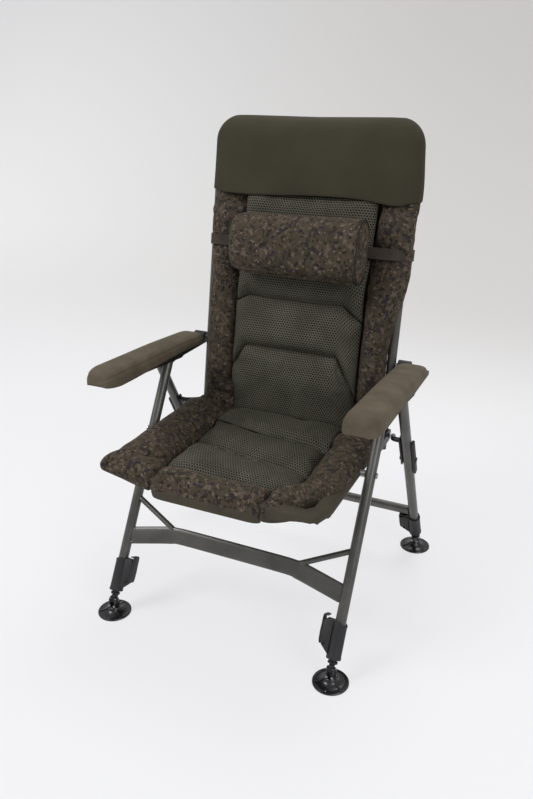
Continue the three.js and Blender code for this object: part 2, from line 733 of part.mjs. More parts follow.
function armBase(sign) {
  const span = (a, b) => (sign > 0 ? [a, b] : [-b, -a]);
  const lugOuter = arm.inner + arm.lugWide;
  const roofTop = roof + arm.roofThick;
  const skirt = [
    [arm.rearEnd, roofTop],
    [arm.rearEnd, roof - arm.shallow / 2],
    [arm.shoulder, roof - arm.shallow],
    [arm.shoulder - arm.shoulderRun, roof - arm.deep + arm.shallow],
    [arm.frontEnd + arm.frontTaper, roof - arm.deep + arm.shallow],
    [arm.frontEnd, roof - arm.frontDeep + arm.shallow],
    [arm.frontEnd, roofTop],
  ];
  const parts = [
    sidePlate([
      [arm.frontEnd, roof],
      [arm.rearEnd, roof],
      [arm.rearEnd, roofTop],
      [arm.frontEnd, roofTop],
    ], ...span(arm.inner, arm.outer)),
    sidePlate(skirt, ...span(arm.inner, arm.inner + arm.wall)),
    sidePlate(skirt, ...span(arm.outer - arm.wall, arm.outer)),
    rackRib(...span(arm.inner + arm.wall / 2, frontLegX - legRadius - clearance * 2)),
    rackRib(...span(rearLegX + legRadius + clearance * 2, arm.outer - arm.wall / 2)),
    rod(at(sign * arm.inner, 0, 0), at(sign * lugOuter, 0, 0), arm.lugRadius, 20),
    slab(
      at(Math.min(...span(arm.inner, lugOuter)), arm.padRear + clearance, roof),
      at(Math.max(...span(arm.inner, lugOuter)), arm.rearEnd, 0)),
  ];
  const bore = rod(
    at(sign * (arm.inner - overrun), 0, 0),
    at(sign * (lugOuter + overrun), 0, 0), pinRadius + clearance);
  return cut(joined(...parts), bore);
}

// Padded cover: crowned over the base, with sides that come down past its roof and a drooping nose
const armShares = {
  endRun: 1.6,                      // run of the rounded ends, to the crown
  noseWidth: 0.45,                  // what is left of the width at the nose and the tail
  tailWidth: 0.72,
  rearCrown: 0.82,                  // the crown at the pivot and at the ends
  endCrown: 0.35,
  droopStart: 0.6,                  // where the sides begin to come lower, and where they are lowest
  droopEnd: 0.9,
  noseLift: 0.4,
};
function armPad(sign) {
  const middle = sign * (arm.padInner + arm.padOuter) / 2;
  const half = (arm.padOuter - arm.padInner) / 2;
  const endRun = arm.padCrown * armShares.endRun;
  const place = (u, v, upper) => {
    const y = lerp(-armLength, arm.padRear, (v + 1) / 2);
    const nose = lerp(armShares.noseWidth, 1, quarter(armLength + y, endRun));
    const tail = lerp(armShares.tailWidth, 1, quarter(arm.padRear - y, endRun));
    const width = Math.min(nose, tail);
    const x = middle + u * half * width;
    const droop = smoothstep(-y, armLength * armShares.droopStart, armLength * armShares.droopEnd);
    const drop = lerp(arm.padSide, arm.padFrontDrop, droop);
    const low = roof - drop * lerp(armShares.noseLift, 1, clamp((armLength + y) / endRun, 0, 1));
    if (!upper) return at(x, y, low);
    const swell = lerp(armShares.rearCrown, 1, smoothstep(-y, 0, armLength / 2));
    const crown = arm.padCrown * swell * lerp(armShares.endCrown, 1, width);
    return at(x, y, lerp(low + arm.padSide / 2, roof + crown, Math.sqrt(1 - u ** 4)));
  };
  const body = sheetSolid(8, 15, (u, v) => place(u, v, true), (u, v) => place(u, v, false));
  const walls = [sign * (arm.inner - clearance), sign * (arm.outer + clearance)];
  const hollow = slab(
    at(Math.min(...walls), arm.frontEnd - clearance, roof - arm.deep),
    at(Math.max(...walls), arm.rearEnd, roof + arm.roofThick + clearance));
  return cut(body, hollow);
}

for (const { name, sign } of sides) {
  const group = new THREE.Group();
  group.matrixAutoUpdate = false;
  group.matrix.copy(armFrame);
  chair.add(group);
  addPiece(`arm_base_${name}`, armBase(sign), blackNylon, group);
  addPiece(`arm_pad_${name}`, armPad(sign), armCloth, group);
  addPiece(`arm_bolt_${name}`, crossBolt(sign,
    frameX - frameRadius - clearance, arm.inner + arm.lugWide + clearance, 0, 0), zincSteel, group);
}

// Cloth: slings between the tubes, then the cushions that lie on them

const sling = {
  thick: 3,
  seatSag: 44,
  sagShare: 0.6,                    // fullness of the sag's section
  seatRear: 38,
  backLow: 34,
  topRoom: 152,                     // upper edge below the axis of the top bow
  backBulge: 14,
};
sling.backHigh = backLength - sling.topRoom;
const slingTop = frameRadius + clearance;
const railInside = frameX - frameRadius - clearance;
const sagFront = seatFrontY + frameRadius + clearance;
const sagRear = seat.rearBarY - seat.rearBarRadius - clearance;
const slingFront = seatFrontY - frameRadius;

// How far the seat sling hangs at a place on the seat: nothing over the rails, the bow and the rear bar
const slingSag = (x, y) => sling.seatSag
  * hump(x, -railInside, railInside) ** sling.sagShare
  * hump(y, sagFront, sagRear) ** sling.sagShare;
const seatSlingAt = (half, start, lift) => (u, v) => {
  const x = u * half;
  const y = lerp(start, sling.seatRear, (v + 1) / 2);
  return at(x, y, lift - slingSag(x, y));
};
const thickRod = (from, to, radius) => rod(from, to, radius + clearance * 2);
const seatTubes = [
  thickRod(at(-frameX, seat.railFront, 0), at(-frameX, sling.seatRear + overrun, 0), frameRadius),
  thickRod(at(frameX, seat.railFront, 0), at(frameX, sling.seatRear + overrun, 0), frameRadius),
  seatBow(frameRadius + clearance * 2),
  thickRod(at(-frameX, seat.rearBarY, 0), at(frameX, seat.rearBarY, 0), seat.rearBarRadius),
];
const seatHeads = sides.map(({ sign }) => thickRod(
  at(sign * (railInside - headHeight - clearance), seatPinY, 0), at(sign * frameX, seatPinY, 0), headRadius));
const slingHalf = frameX + frameRadius;
addPiece('seat_sling', cut(sheetSolid(10, 10,
  seatSlingAt(slingHalf, slingFront, slingTop + sling.thick + clearance * 2),
  seatSlingAt(slingHalf, slingFront, slingTop + clearance * 2),
), ...seatTubes, ...seatHeads), slingCloth, seatGroup);

const boltHeads = [0, armPivotRun].flatMap((run) => sides.map(({ sign }) => rod(
  at(sign * (railInside - headHeight - clearance), 0, run),
  at(sign * frameX, 0, run), headRadius + clearance * 2)));
const backSlingAt = (half, depth) => (u, v) => {
  const x = u * half;
  const z = lerp(sling.backLow, sling.backHigh, (v + 1) / 2);
  return at(x, depth + sling.backBulge * hump(x, -railInside, railInside), z);
};
addPiece('back_sling', cut(sheetSolid(6, 8,
  backSlingAt(railInside, -sling.thick / 2),
  backSlingAt(railInside, sling.thick / 2),
), ...boltHeads), slingCloth, backGroup);

// Seat cushion: padded border on three sides and a channelled mesh panel inside it

const pad = {
  seatHalf: 256,
  seatRear: 108,
  seatTailHalf: 231,                // half width between the tubes at the hinge
  seatTailStart: 66,
  seatTailDrop: 9,
  seatWedgeShare: 0.2,              // rise of the top per run ahead of the hinge
  seatEdge: 19,                     // heights above the axis of the seat tubes
  seatCrest: 33,
  seatGroove: -10,
  seatCrown: 7,
  seatChannel: 7,                   // depth of a sewn channel
  seatLeast: 9,                     // least thickness over the sling
  seatBand: 92,                     // width of the border
  seatPanelX: 155,
  lip: 14,
  lipDrop: 27,
  lipOuterX: 132,
  backHalf: 233,
  backLow: 20,
  backWedgeShare: 0.3,              // depth of the face per run above the hinge
  backEdge: 16,                     // depths ahead of the axis of the back tubes
  backCrest: 51,
  backGroove: 33,
  backCrown: 51,
  backChannel: 13,
  backPanelX: 166,
};
const seatChannels = [-114, 2];      // sewn channels across the seat, along Y
const channelShares = [0.2686, 0.4371, 0.6143];
const backChannels = channelShares.map((share) => share * backLength); // across the back, up from the hinge
const channelHalf = 26;
const cornerShares = { left: 0.2, right: 0.5 }; // how far the front corners are drawn in

const channelDepth = (value, places) =>
  places.reduce((sum, place) => sum + hump(value, place - channelHalf, place + channelHalf) ** 2, 0);

function seatFrontEdge(x) {
  const beyond = Math.max(0, Math.abs(x) - pad.lipOuterX);
  const share = x < 0 ? cornerShares.left : cornerShares.right;
  return seatFrontY - frameRadius - clearance - pad.lip + beyond * share;
}

const seatShares = {
  rollStart: -0.35,                 // the border's roll: where its curve starts, and its valley
  rollValley: 0.33,
  rim: 0.6,
  rollFullness: 0.8,
  panelFullness: 0.4,
};
function seatFace(x, y) {
  const toEdge = Math.min(pad.seatHalf - Math.abs(x), y - seatFrontEdge(x));
  if (toEdge < pad.seatBand) {
    const roll = hump(toEdge, pad.seatBand * seatShares.rollStart, pad.seatBand) ** seatShares.rollFullness;
    const past = toEdge > pad.seatBand * seatShares.rollValley;
    return lerp(past ? pad.seatGroove : pad.seatEdge * seatShares.rim, pad.seatCrest, roll);
  }
  const across = hump(x, -pad.seatPanelX - overrun, pad.seatPanelX + overrun) ** seatShares.panelFullness;
  const inside = clamp((toEdge - pad.seatBand) / channelHalf, 0, 1);
  const swell = (pad.seatCrown - pad.seatGroove) * Math.sin(inside * Math.PI / 2);
  return pad.seatGroove + (swell - pad.seatChannel * channelDepth(y, seatChannels)) * across;
}

// The top stays a cushion's least thickness above the sling and thins towards the hinge
function seatTop(x, y) {
  const least = slingTop + sling.thick + pad.seatLeast - slingSag(x, y);
  return Math.min(Math.max(seatFace(x, y), least), (backHingeY - y) * pad.seatWedgeShare);
}

// The cushion's own underside lies below the sling, whose room is then cut out of it; what is left
// in front of the sling is the lip that hangs over the front bow
const lipShare = 0.16;
const padUnder = -sling.seatSag - pad.lip;
function seatPad(u, v, upper) {
  const x = u * pad.seatHalf;
  const t = (v + 1) / 2;
  const y = lerp(seatFrontEdge(x), pad.seatRear, Math.max(0, t - lipShare) / (1 - lipShare));
  const top = seatTop(x, y);
  if (!upper) return at(x, y, padUnder);
  return at(x, y, t >= lipShare ? top : lerp(padUnder + clearance, top, t / lipShare));
}
const roomBottom = padUnder * 2;
const roomHalf = pad.seatHalf + overrun;
const roomTop = slingTop + sling.thick + clearance * 3;
const roomRear = pad.seatRear + overrun;
const slingRooms = [
  sheetSolid(10, 10, seatSlingAt(slingHalf, slingFront, roomTop),
    (u, v) => at(u * slingHalf, lerp(slingFront, sling.seatRear, (v + 1) / 2), roomBottom)),
  slab(at(-roomHalf, slingFront - clearance, roomBottom), at(-slingHalf, roomRear, roomTop)),
  slab(at(slingHalf, slingFront - clearance, roomBottom), at(roomHalf, roomRear, roomTop)),
  slab(at(-roomHalf, slingFront - clearance, roomBottom), at(roomHalf, slingFront, roomTop)),
  slab(at(-roomHalf, sling.seatRear, roomBottom), at(roomHalf, sling.seatRear + clearance, roomTop)),
];
const tailRooms = [
  slab(at(-roomHalf, sling.seatRear, roomBottom), at(roomHalf, roomRear, -pad.seatTailDrop)),
  slab(at(-roomHalf, sling.seatRear, roomBottom), at(-pad.seatTailHalf, roomRear, roomTop)),
  slab(at(pad.seatTailHalf, sling.seatRear, roomBottom), at(roomHalf, roomRear, roomTop)),
  slab(at(-roomHalf, pad.seatTailStart, roomBottom), at(-pad.seatTailHalf, roomRear, seatHeight)),
  slab(at(pad.seatTailHalf, pad.seatTailStart, roomBottom), at(roomHalf, roomRear, seatHeight)),
];
const lipFront = seatFrontY * 2;
const lipRooms = [
  slab(at(-roomHalf, lipFront, roomBottom), at(-pad.lipOuterX, slingFront, slingTop)),
  slab(at(pad.lipOuterX, lipFront, roomBottom), at(roomHalf, slingFront, slingTop)),
  slab(at(-roomHalf, lipFront, roomBottom), at(roomHalf, slingFront, -pad.lipDrop)),
];
addPiece('seat_pad', cut(sheetSolid(24, 18, (u, v) => seatPad(u, v, true), (u, v) => seatPad(u, v, false)),
  ...slingRooms, ...tailRooms, ...lipRooms, ...seatTubes, ...seatHeads), camoCloth, seatGroup);

// Back cushion: a padded border down both sides of a channelled mesh panel

const backShares = {
  rollEnd: -0.25,                   // the border's roll ends past the edge
  rollFullness: 0.7,
  panelFullness: 0.35,
  lowRoll: 0.75,                    // what is left of the depth at the crease
  lowPanel: 0.6,
};
function backDepth(x, z) {
  const side = Math.abs(x);
  const low = smoothstep(z, pad.backLow - channelHalf, pad.backLow + channelHalf * 3);
  if (side > pad.backPanelX) {
    const roll = hump(side, pad.backPanelX, lerp(pad.backHalf, pad.backPanelX, backShares.rollEnd));
    const outer = side > (pad.backHalf + pad.backPanelX) / 2;
    const depth = lerp(outer ? pad.backEdge : pad.backGroove, pad.backCrest, roll ** backShares.rollFullness);
    return depth * lerp(backShares.lowRoll, 1, low);
  }
  const across = hump(side, -pad.backPanelX, pad.backPanelX) ** backShares.panelFullness;
  const channel = pad.backChannel * across * channelDepth(z, backChannels);
  return (lerp(pad.backGroove, pad.backCrown, across) - channel) * lerp(backShares.lowPanel, 1, low);
}
const backFace = (x, z) => Math.min(backDepth(x, z), z * pad.backWedgeShare);
const backPadAt = (depthAt) => (u, v) => {
  const x = u * pad.backHalf;
  const z = lerp(pad.backLow, sling.backHigh, (v + 1) / 2);
  return at(x, depthAt(x, z), z);
};
const backRoom = sheetSolid(6, 8,
  (u, v) => {
    const place = backSlingAt(railInside + overrun, -sling.thick / 2 - clearance)(u, v);
    place.z += Math.sign(v) * overrun * (Math.abs(v) === 1);
    return place;
  },
  (u, v) => {
    const z = lerp(sling.backLow - overrun, sling.backHigh + overrun, (v + 1) / 2);
    return at(u * (railInside + overrun), frameX, z);
  });
addPiece('back_pad', cut(sheetSolid(20, 22,
  backPadAt((x, z) => -backFace(x, z)),
  backPadAt(() => sling.backBulge + sling.thick),
), backRoom, ...boltHeads), meshCloth, backGroup);

// Hood: the padded cover drawn down over the top of the back

const hood = {
  half: 262,
  hemRoom: 149,                     // hem below the axis of the top bow
  rise: 27,                         // top above that axis
  cornerRadius: 70,
  front: 46,
  rear: 24,
};
hood.low = backLength - hood.hemRoom;
hood.high = backLength + hood.rise;
const hoodShares = {
  topWidth: 0.97,                   // how far round its quarter the outline runs at the top
  topDepth: 0.93,
  sideDepth: 0.75,                  // how much thinner the hood is at its sides
};
function hoodPlace(u, v, forward) {
  const z = lerp(hood.low, hood.high, (v + 1) / 2);
  const up = clamp((z - hood.high + hood.cornerRadius) / hood.cornerRadius, 0, 1);
  const half = hood.half - hood.cornerRadius * (1 - Math.sqrt(1 - (up * hoodShares.topWidth) ** 2));
  const round = Math.sqrt(1 - (up * hoodShares.topDepth) ** 2);
  const thick = (1 - Math.abs(u) ** 5 * hoodShares.sideDepth) * round;
  return at(u * half, forward ? -hood.front * thick : hood.rear * thick, z);
}
const hoodForm = sheetSolid(16, 9, (u, v) => hoodPlace(u, v, true), (u, v) => hoodPlace(u, v, false));
const bowRoom = backBow(hood.low - frameRadius, frameRadius + clearance * 2);
addPiece('back_hood', cut(hoodForm, bowRoom), hoodCloth, backGroup);

// Neck pillow on its elastic strap, which runs round the whole back

const pillow = {
  middleX: 10,
  below: 272,                       // middle of the pillow below the axis of the top bow
  halfLong: 165,
  halfTall: 80,
  thick: 92,
  edge: 8,
  strapHalf: 13,
  strapThick: 1.5,
};
pillow.middleZ = backLength - pillow.below;
const strapFront = pad.backCrest + clearance;
const pillowRear = strapFront + pillow.strapThick + clearance;
const pillowShares = {
  roll: 2.6,                        // how square the roll's section is
  endDepth: 0.5,
};
const pillowFace = (u, v) => pillow.edge + (pillow.thick - pillow.edge)
  * Math.sqrt(1 - Math.abs(v) ** pillowShares.roll) * (1 - pillowShares.endDepth * u ** 8);
const pillowAt = (depthAt) => (u, v) => at(
  pillow.middleX + u * pillow.halfLong, -pillowRear - depthAt(u, v), pillow.middleZ + v * pillow.halfTall);
addPiece('neck_pillow', sheetSolid(12, 10, pillowAt(pillowFace), pillowAt(() => 0)), camoCloth, backGroup);
const strapSide = frameX + frameRadius + clearance;
const strapRear = frameRadius + sling.thick + sling.backBulge;
function strapLoop(grow, height) {
  const x = strapSide + grow;
  const shape = new THREE.Shape();
  shape.moveTo(-pad.backHalf, -strapFront - grow);
  shape.lineTo(pad.backHalf, -strapFront - grow);
  shape.lineTo(x, -frameRadius);
  shape.lineTo(x, frameRadius);
  shape.lineTo(pad.backHalf, strapRear + grow);
  shape.lineTo(-pad.backHalf, strapRear + grow);
  shape.lineTo(-x, frameRadius);
  shape.lineTo(-x, -frameRadius);
  return new THREE.ExtrudeGeometry(shape, { depth: height, bevelEnabled: false })
    .translate(0, 0, pillow.middleZ - height / 2);
}
addPiece('pillow_strap', cut(
  strapLoop(pillow.strapThick, pillow.strapHalf * 2), strapLoop(0, (pillow.strapHalf + overrun) * 2),
), strapWebbing, backGroup);

export default chair;
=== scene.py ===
# Folding fishing chair: padded cloth on a steel frame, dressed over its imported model
import math

import bmesh
import bpy
from mathutils import Matrix, Vector, noise


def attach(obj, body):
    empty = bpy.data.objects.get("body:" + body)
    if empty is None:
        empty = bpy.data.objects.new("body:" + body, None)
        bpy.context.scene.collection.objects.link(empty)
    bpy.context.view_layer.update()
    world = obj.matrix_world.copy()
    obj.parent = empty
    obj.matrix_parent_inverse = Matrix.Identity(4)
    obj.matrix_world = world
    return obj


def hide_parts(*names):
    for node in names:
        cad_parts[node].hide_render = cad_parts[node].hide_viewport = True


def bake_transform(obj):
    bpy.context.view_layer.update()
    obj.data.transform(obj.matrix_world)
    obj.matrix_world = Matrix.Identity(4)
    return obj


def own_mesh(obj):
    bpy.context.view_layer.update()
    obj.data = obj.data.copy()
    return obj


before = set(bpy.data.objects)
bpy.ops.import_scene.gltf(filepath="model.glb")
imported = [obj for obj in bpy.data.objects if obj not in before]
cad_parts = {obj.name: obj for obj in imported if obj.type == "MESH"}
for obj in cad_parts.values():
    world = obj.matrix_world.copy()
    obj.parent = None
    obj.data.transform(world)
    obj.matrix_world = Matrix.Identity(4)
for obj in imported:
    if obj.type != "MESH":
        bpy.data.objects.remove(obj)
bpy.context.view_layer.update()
scene = bpy.context.scene
scene.view_settings.view_transform = "Standard"
mm = 0.001
sides = {"left": -1, "right": 1}


# Nodes and colours

def addNode(tree, kind, inputs=None, **settings):
    node = tree.nodes.new(kind)
    for key, value in settings.items():
        setattr(node, key, value)
    for key, value in (inputs or {}).items():
        if isinstance(value, bpy.types.NodeSocket):
            tree.links.new(value, node.inputs[key])
        else:
            node.inputs[key].default_value = value
    return node


def srgb(code):
    parts = [int(code[i:i + 2], 16) / 255 for i in (0, 2, 4)]
    return tuple(c / 12.92 if c < 0.04045 else ((c + 0.055) / 1.055) ** 2.4 for c in parts) + (1.0,)


def colourRamp(tree, value, stops, steady=False):
    node = addNode(tree, "ShaderNodeValToRGB", {"Fac": value})
    ramp = node.color_ramp
    ramp.interpolation = "CONSTANT" if steady else "LINEAR"
    while len(ramp.elements) < len(stops):
        ramp.elements.new(1.0)
    for element, (place, code) in zip(ramp.elements, stops):
        element.position = place
        element.color = srgb(code)
    return node.outputs["Color"]


def cloudNoise(tree, place, sizeMm, detail=2.0, rough=0.5):
    return addNode(tree, "ShaderNodeTexNoise", {
        "Vector": place, "Scale": 1 / (sizeMm * mm), "Detail": detail, "Roughness": rough}).outputs["Fac"]


def mapRange(tree, value, low, high, toLow=0.0, toHigh=1.0, kind="LINEAR"):
    return addNode(tree, "ShaderNodeMapRange", {
        "Value": value, "From Min": low, "From Max": high, "To Min": toLow, "To Max": toHigh},
        interpolation_type=kind).outputs["Result"]


def mixColours(tree, share, one, other):
    return addNode(tree, "ShaderNodeMix", {0: share, 6: one, 7: other}, data_type="RGBA").outputs[2]


def newMaterial(name, **shader):
    material = bpy.data.materials.new(name)
    material.use_nodes = True
    tree = material.node_tree
    surface = tree.nodes["Principled BSDF"]
    for key, value in shader.items():
        surface.inputs[key.replace("_", " ")].default_value = value
    return material, tree, surface


def bumpOn(tree, surface, heights):
    # Each bump is laid over the one before: (height, strength, distance in millimetres)
    normal = None
    for height, strength, distance in heights:
        inputs = {"Height": height, "Strength": strength, "Distance": distance * mm}
        if normal is not None:
            inputs["Normal"] = normal
        normal = addNode(tree, "ShaderNodeBump", inputs).outputs["Normal"]
    tree.links.new(normal, surface.inputs["Normal"])


# Hard finishes: a little mottling of the colour, a grain in the gloss and a fine skin of bumps

def hardFinish(name, look):
    material, tree, surface = newMaterial(name, Metallic=look["metallic"], IOR=look.get("ior", 1.5))
    place = addNode(tree, "ShaderNodeTexCoord").outputs["Object"]
    cloud = cloudNoise(tree, place, look["cloudMm"], 3.0, 0.6)
    tint = colourRamp(tree, cloud, [(0.3, look["dark"]), (0.7, look["light"])])
    tree.links.new(tint, surface.inputs["Base Color"])
    grain = cloudNoise(tree, place, look["grainMm"])
    rough, spread = look["rough"], look["roughSpread"]
    gloss = mapRange(tree, grain, 0.3, 0.7, rough - spread, rough + spread)
    tree.links.new(gloss, surface.inputs["Roughness"])
    bumpOn(tree, surface, [(grain, look["bump"], look["grainMm"] * 0.4)])
    return material


# Powder paint with a metal fleck: satin grey with long soft highlights along the tubes
framePaint = hardFinish("satin gunmetal powder paint", {
    "dark": "474643", "light": "575652", "metallic": 0.45, "rough": 0.34, "roughSpread": 0.05,
    "cloudMm": 60, "grainMm": 1.4, "bump": 0.12})
# Black passivated steel of the hinge plates, links and inner legs: darker and a little duller
blackSteel = hardFinish("satin black passivated steel", {
    "dark": "141517", "light": "222326", "metallic": 0.5, "rough": 0.42, "roughSpread": 0.06,
    "cloudMm": 30, "grainMm": 1.0, "bump": 0.15})
# Bright zinc on bolts and pins: small sharp glints
zincSteel = hardFinish("bright zinc plated steel", {
    "dark": "7d8084", "light": "a2a4a8", "metallic": 0.9, "rough": 0.28, "roughSpread": 0.08,
    "cloudMm": 8, "grainMm": 0.8, "bump": 0.1})
# Glass-filled nylon of clamps, levers and arm bases: matt black with a moulded spark grain
mattNylon = hardFinish("matt moulded black nylon", {
    "dark": "08090b", "light": "0e0f12", "metallic": 0.0, "rough": 0.6, "roughSpread": 0.08,
    "cloudMm": 25, "grainMm": 0.9, "bump": 0.35, "ior": 1.53})
# Polished mould faces of the mud feet: glossy black that picks up the pale floor
glossNylon = hardFinish("glossy moulded black nylon", {
    "dark": "0a0b0d", "light": "131417", "metallic": 0.0, "rough": 0.27, "roughSpread": 0.06,
    "cloudMm": 30, "grainMm": 1.6, "bump": 0.12, "ior": 1.53})


# Cloth: every soft piece carries two attributes, spot (its place at rest) and lay (metres along the cloth)

def clothBase(name, rough, sheen, sheenTint):
    material, tree, surface = newMaterial(name, Roughness=rough, Metallic=0.0, IOR=1.45,
                                          Sheen_Weight=sheen, Sheen_Roughness=0.5)
    surface.inputs["Sheen Tint"].default_value = srgb(sheenTint)
    surface.inputs["Specular IOR Level"].default_value = 0.25
    spot = addNode(tree, "ShaderNodeAttribute", attribute_name="spot").outputs["Vector"]
    lay = addNode(tree, "ShaderNodeAttribute", attribute_name="lay").outputs["Vector"]
    return material, tree, surface, spot, lay


def weaveHeight(tree, lay, threadMm):
    # Two crossed sets of threads; real threads of 0.3 mm are drawn coarser, so that they show
    scaled = addNode(tree, "ShaderNodeVectorMath", {
        0: lay, "Scale": math.pi / (threadMm * mm)}, operation="SCALE")
    split = addNode(tree, "ShaderNodeSeparateXYZ", {"Vector": scaled.outputs["Vector"]})
    across = addNode(tree, "ShaderNodeMath", {0: split.outputs["X"]}, operation="SINE")
    along = addNode(tree, "ShaderNodeMath", {0: split.outputs["Y"]}, operation="SINE")
    return addNode(tree, "ShaderNodeMath", {
        0: across.outputs[0], 1: along.outputs[0]}, operation="MULTIPLY").outputs[0]


def wovenCloth(name, look):
    material, tree, surface, spot, lay = clothBase(name, look["rough"], look["sheen"], look["light"])
    shade = cloudNoise(tree, spot, look["shadeMm"], 4.0)
    tint = colourRamp(tree, shade, [(0.3, look["dark"]), (0.72, look["light"])])
    threads = weaveHeight(tree, lay, look["threadMm"])
    lift = mapRange(tree, threads, -1.0, 1.0, 1 - look["threadShade"])
    mixed = addNode(tree, "ShaderNodeVectorMath", {0: tint, "Scale": lift}, operation="SCALE")
    tree.links.new(mixed.outputs["Vector"], surface.inputs["Base Color"])
    creases = cloudNoise(tree, spot, look["creaseMm"])
    bumpOn(tree, surface, [(creases, look["crease"], 4.0), (threads, look["bump"], 0.3)])
    return material


# Brushed polyester cover of the arms: light olive beige, almost smooth
armCloth = wovenCloth("brushed polyester arm cloth", {
    "dark": "4a4337", "light": "5c5345", "rough": 0.85, "sheen": 0.25, "shadeMm": 45, "threadMm": 0.9,
    "threadShade": 0.08, "creaseMm": 38, "crease": 0.35, "bump": 0.25})
# Hood cloth: the same in dark olive
hoodCloth = wovenCloth("brushed polyester hood cloth", {
    "dark": "302d21", "light": "383528", "rough": 0.88, "sheen": 0.25, "shadeMm": 110, "threadMm": 0.9,
    "threadShade": 0.1, "creaseMm": 90, "crease": 0.25, "bump": 0.25})
# Coated sling cloth: plain weave with a dull coating
slingCloth = wovenCloth("coated woven sling cloth", {
    "dark": "38332a", "light": "443e31", "rough": 0.7, "sheen": 0.1, "shadeMm": 50, "threadMm": 1.1,
    "threadShade": 0.15, "creaseMm": 45, "crease": 0.4, "bump": 0.4})
# Elastic webbing of the strap: ribs along its length
strapWebbing = wovenCloth("woven elastic webbing", {
    "dark": "352f2b", "light": "443b34", "rough": 0.85, "sheen": 0.15, "shadeMm": 30, "threadMm": 1.6,
    "threadShade": 0.25, "creaseMm": 20, "crease": 0.2, "bump": 0.5})
# Folded binding tape round the edges: nearly black
bindingTape = wovenCloth("folded binding tape", {
    "dark": "1f1c17", "light": "2e2a22", "rough": 0.8, "sheen": 0.15, "shadeMm": 20, "threadMm": 1.2,
    "threadShade": 0.2, "creaseMm": 12, "crease": 0.2, "bump": 0.4})
# Near-black cloth inside the hood's hem and under the cushions: painted shade for these recesses
paintedShadeCloth = wovenCloth("black painted shade cloth", {
    "dark": "121110", "light": "1c1a17", "rough": 0.9, "sheen": 0.05, "shadeMm": 40, "threadMm": 1.0,
    "threadShade": 0.2, "creaseMm": 30, "crease": 0.3, "bump": 0.3})
# Sewing thread of the quilting seams: pale beige
sewingThread = newMaterial("waxed polyester thread", Roughness=0.6, IOR=1.5)[0]
sewingThread.node_tree.nodes["Principled BSDF"].inputs["Base Color"].default_value = srgb("857d68")


def camouflageCloth(name, look):
    material, tree, surface, spot, lay = clothBase(name, 0.8, 0.2, "7a6c58")
    # Printed blots have ragged square edges, so the place is snapped to small cells first
    cells = addNode(tree, "ShaderNodeTexVoronoi", {"Vector": spot, "Scale": 1 / (look["cellMm"] * mm)})
    colour = None
    for size, shift, stops in look["layers"]:
        moved = addNode(tree, "ShaderNodeVectorMath", {
            0: cells.outputs["Position"], 1: Vector((1 / (size * mm),) * 3),
            2: (shift, shift * 2, shift * 3)}, operation="MULTIPLY_ADD")
        blot = cloudNoise(tree, moved.outputs["Vector"], 1000, 1.5)
        if colour is None:
            colour = colourRamp(tree, blot, stops, steady=True)
            continue
        low, high, code = stops
        colour = mixColours(tree, mapRange(tree, blot, low, high), colour, srgb(code))
    tree.links.new(colour, surface.inputs["Base Color"])
    threads = weaveHeight(tree, lay, 1.0)
    creases, small = cloudNoise(tree, spot, 26, 3.0), cloudNoise(tree, spot, 9)
    bumpOn(tree, surface, [(creases, 0.55, 5.0), (small, 0.3, 1.2), (threads, 0.2, 0.25)])
    return material


# Printed polyester in a common woodland style: brown ground, olive, dark violet brown and light brown blots
camoCloth = camouflageCloth("printed camouflage polyester", {
    "cellMm": 3.8,
    "layers": [
        (30, 3.1, [(0.0, "332e22"), (0.43, "3e352b"), (0.57, "383224")]),
        (15, 7.7, (0.58, 0.62, "251e26")),
        (14, 1.9, (0.58, 0.68, "4f453a")),
        (9, 5.3, (0.57, 0.61, "1e1b14")),
        (8, 9.9, (0.61, 0.67, "5c5146"))]})


def spacerMesh(name, look):
    material, tree, surface, spot, lay = clothBase(name, 0.75, 0.3, look["strandLight"])
    # Two interleaved lattices make the round holes of a knitted mesh, each with six neighbours
    row = math.sqrt(3)
    scaled = addNode(tree, "ShaderNodeVectorMath", {
        0: lay, 1: (1 / (look["pitchMm"] * mm), 1 / (look["pitchMm"] * mm * row), 0.0)},
        operation="MULTIPLY")
    nearest = []
    for shift in (0.0, 0.5):
        moved = addNode(tree, "ShaderNodeVectorMath", {
            0: scaled.outputs["Vector"], 1: (shift, shift, 0.0)}, operation="ADD")
        part = addNode(tree, "ShaderNodeVectorMath", {0: moved.outputs["Vector"]}, operation="FRACTION")
        centred = addNode(tree, "ShaderNodeVectorMath", {
            0: part.outputs["Vector"], 1: (0.5, 0.5, 0.0)}, operation="SUBTRACT")
        stretched = addNode(tree, "ShaderNodeVectorMath", {
            0: centred.outputs["Vector"], 1: (1.0, row, 0.0)}, operation="MULTIPLY")
        nearest.append(addNode(tree, "ShaderNodeVectorMath", {
            0: stretched.outputs["Vector"]}, operation="LENGTH").outputs["Value"])
    reach = addNode(tree, "ShaderNodeMath", {0: nearest[0], 1: nearest[1]}, operation="MINIMUM").outputs[0]
    knit = mapRange(tree, reach, look["hole"], look["hole"] + 0.1, kind="SMOOTHSTEP")
    shade = cloudNoise(tree, spot, 55, 3.0)
    strand = colourRamp(tree, shade, [(0.3, look["strandDark"]), (0.7, look["strandLight"])])
    # The holes take a near-black colour: painted shade inside them
    tree.links.new(mixColours(tree, knit, srgb(look["holeShadeColour"]), strand), surface.inputs["Base Color"])
    bumpOn(tree, surface, [(cloudNoise(tree, spot, 40), 0.3, 4.0), (knit, 0.9, 1.2)])
    return material


# Knitted spacer mesh over foam: beige-green strands round holes painted near-black as the shade inside them,
# drawn coarser than their real 4.6 mm
meshCloth = spacerMesh("knitted spacer mesh", {
    "pitchMm": 6.6, "hole": 0.28, "holeShadeColour": "0c0b0a", "strandDark": "46443a", "strandLight": "58564a"})
print("materials ready")


# Mesh making in millimetres; a place is a matrix that takes a piece's own millimetres to the scene's metres

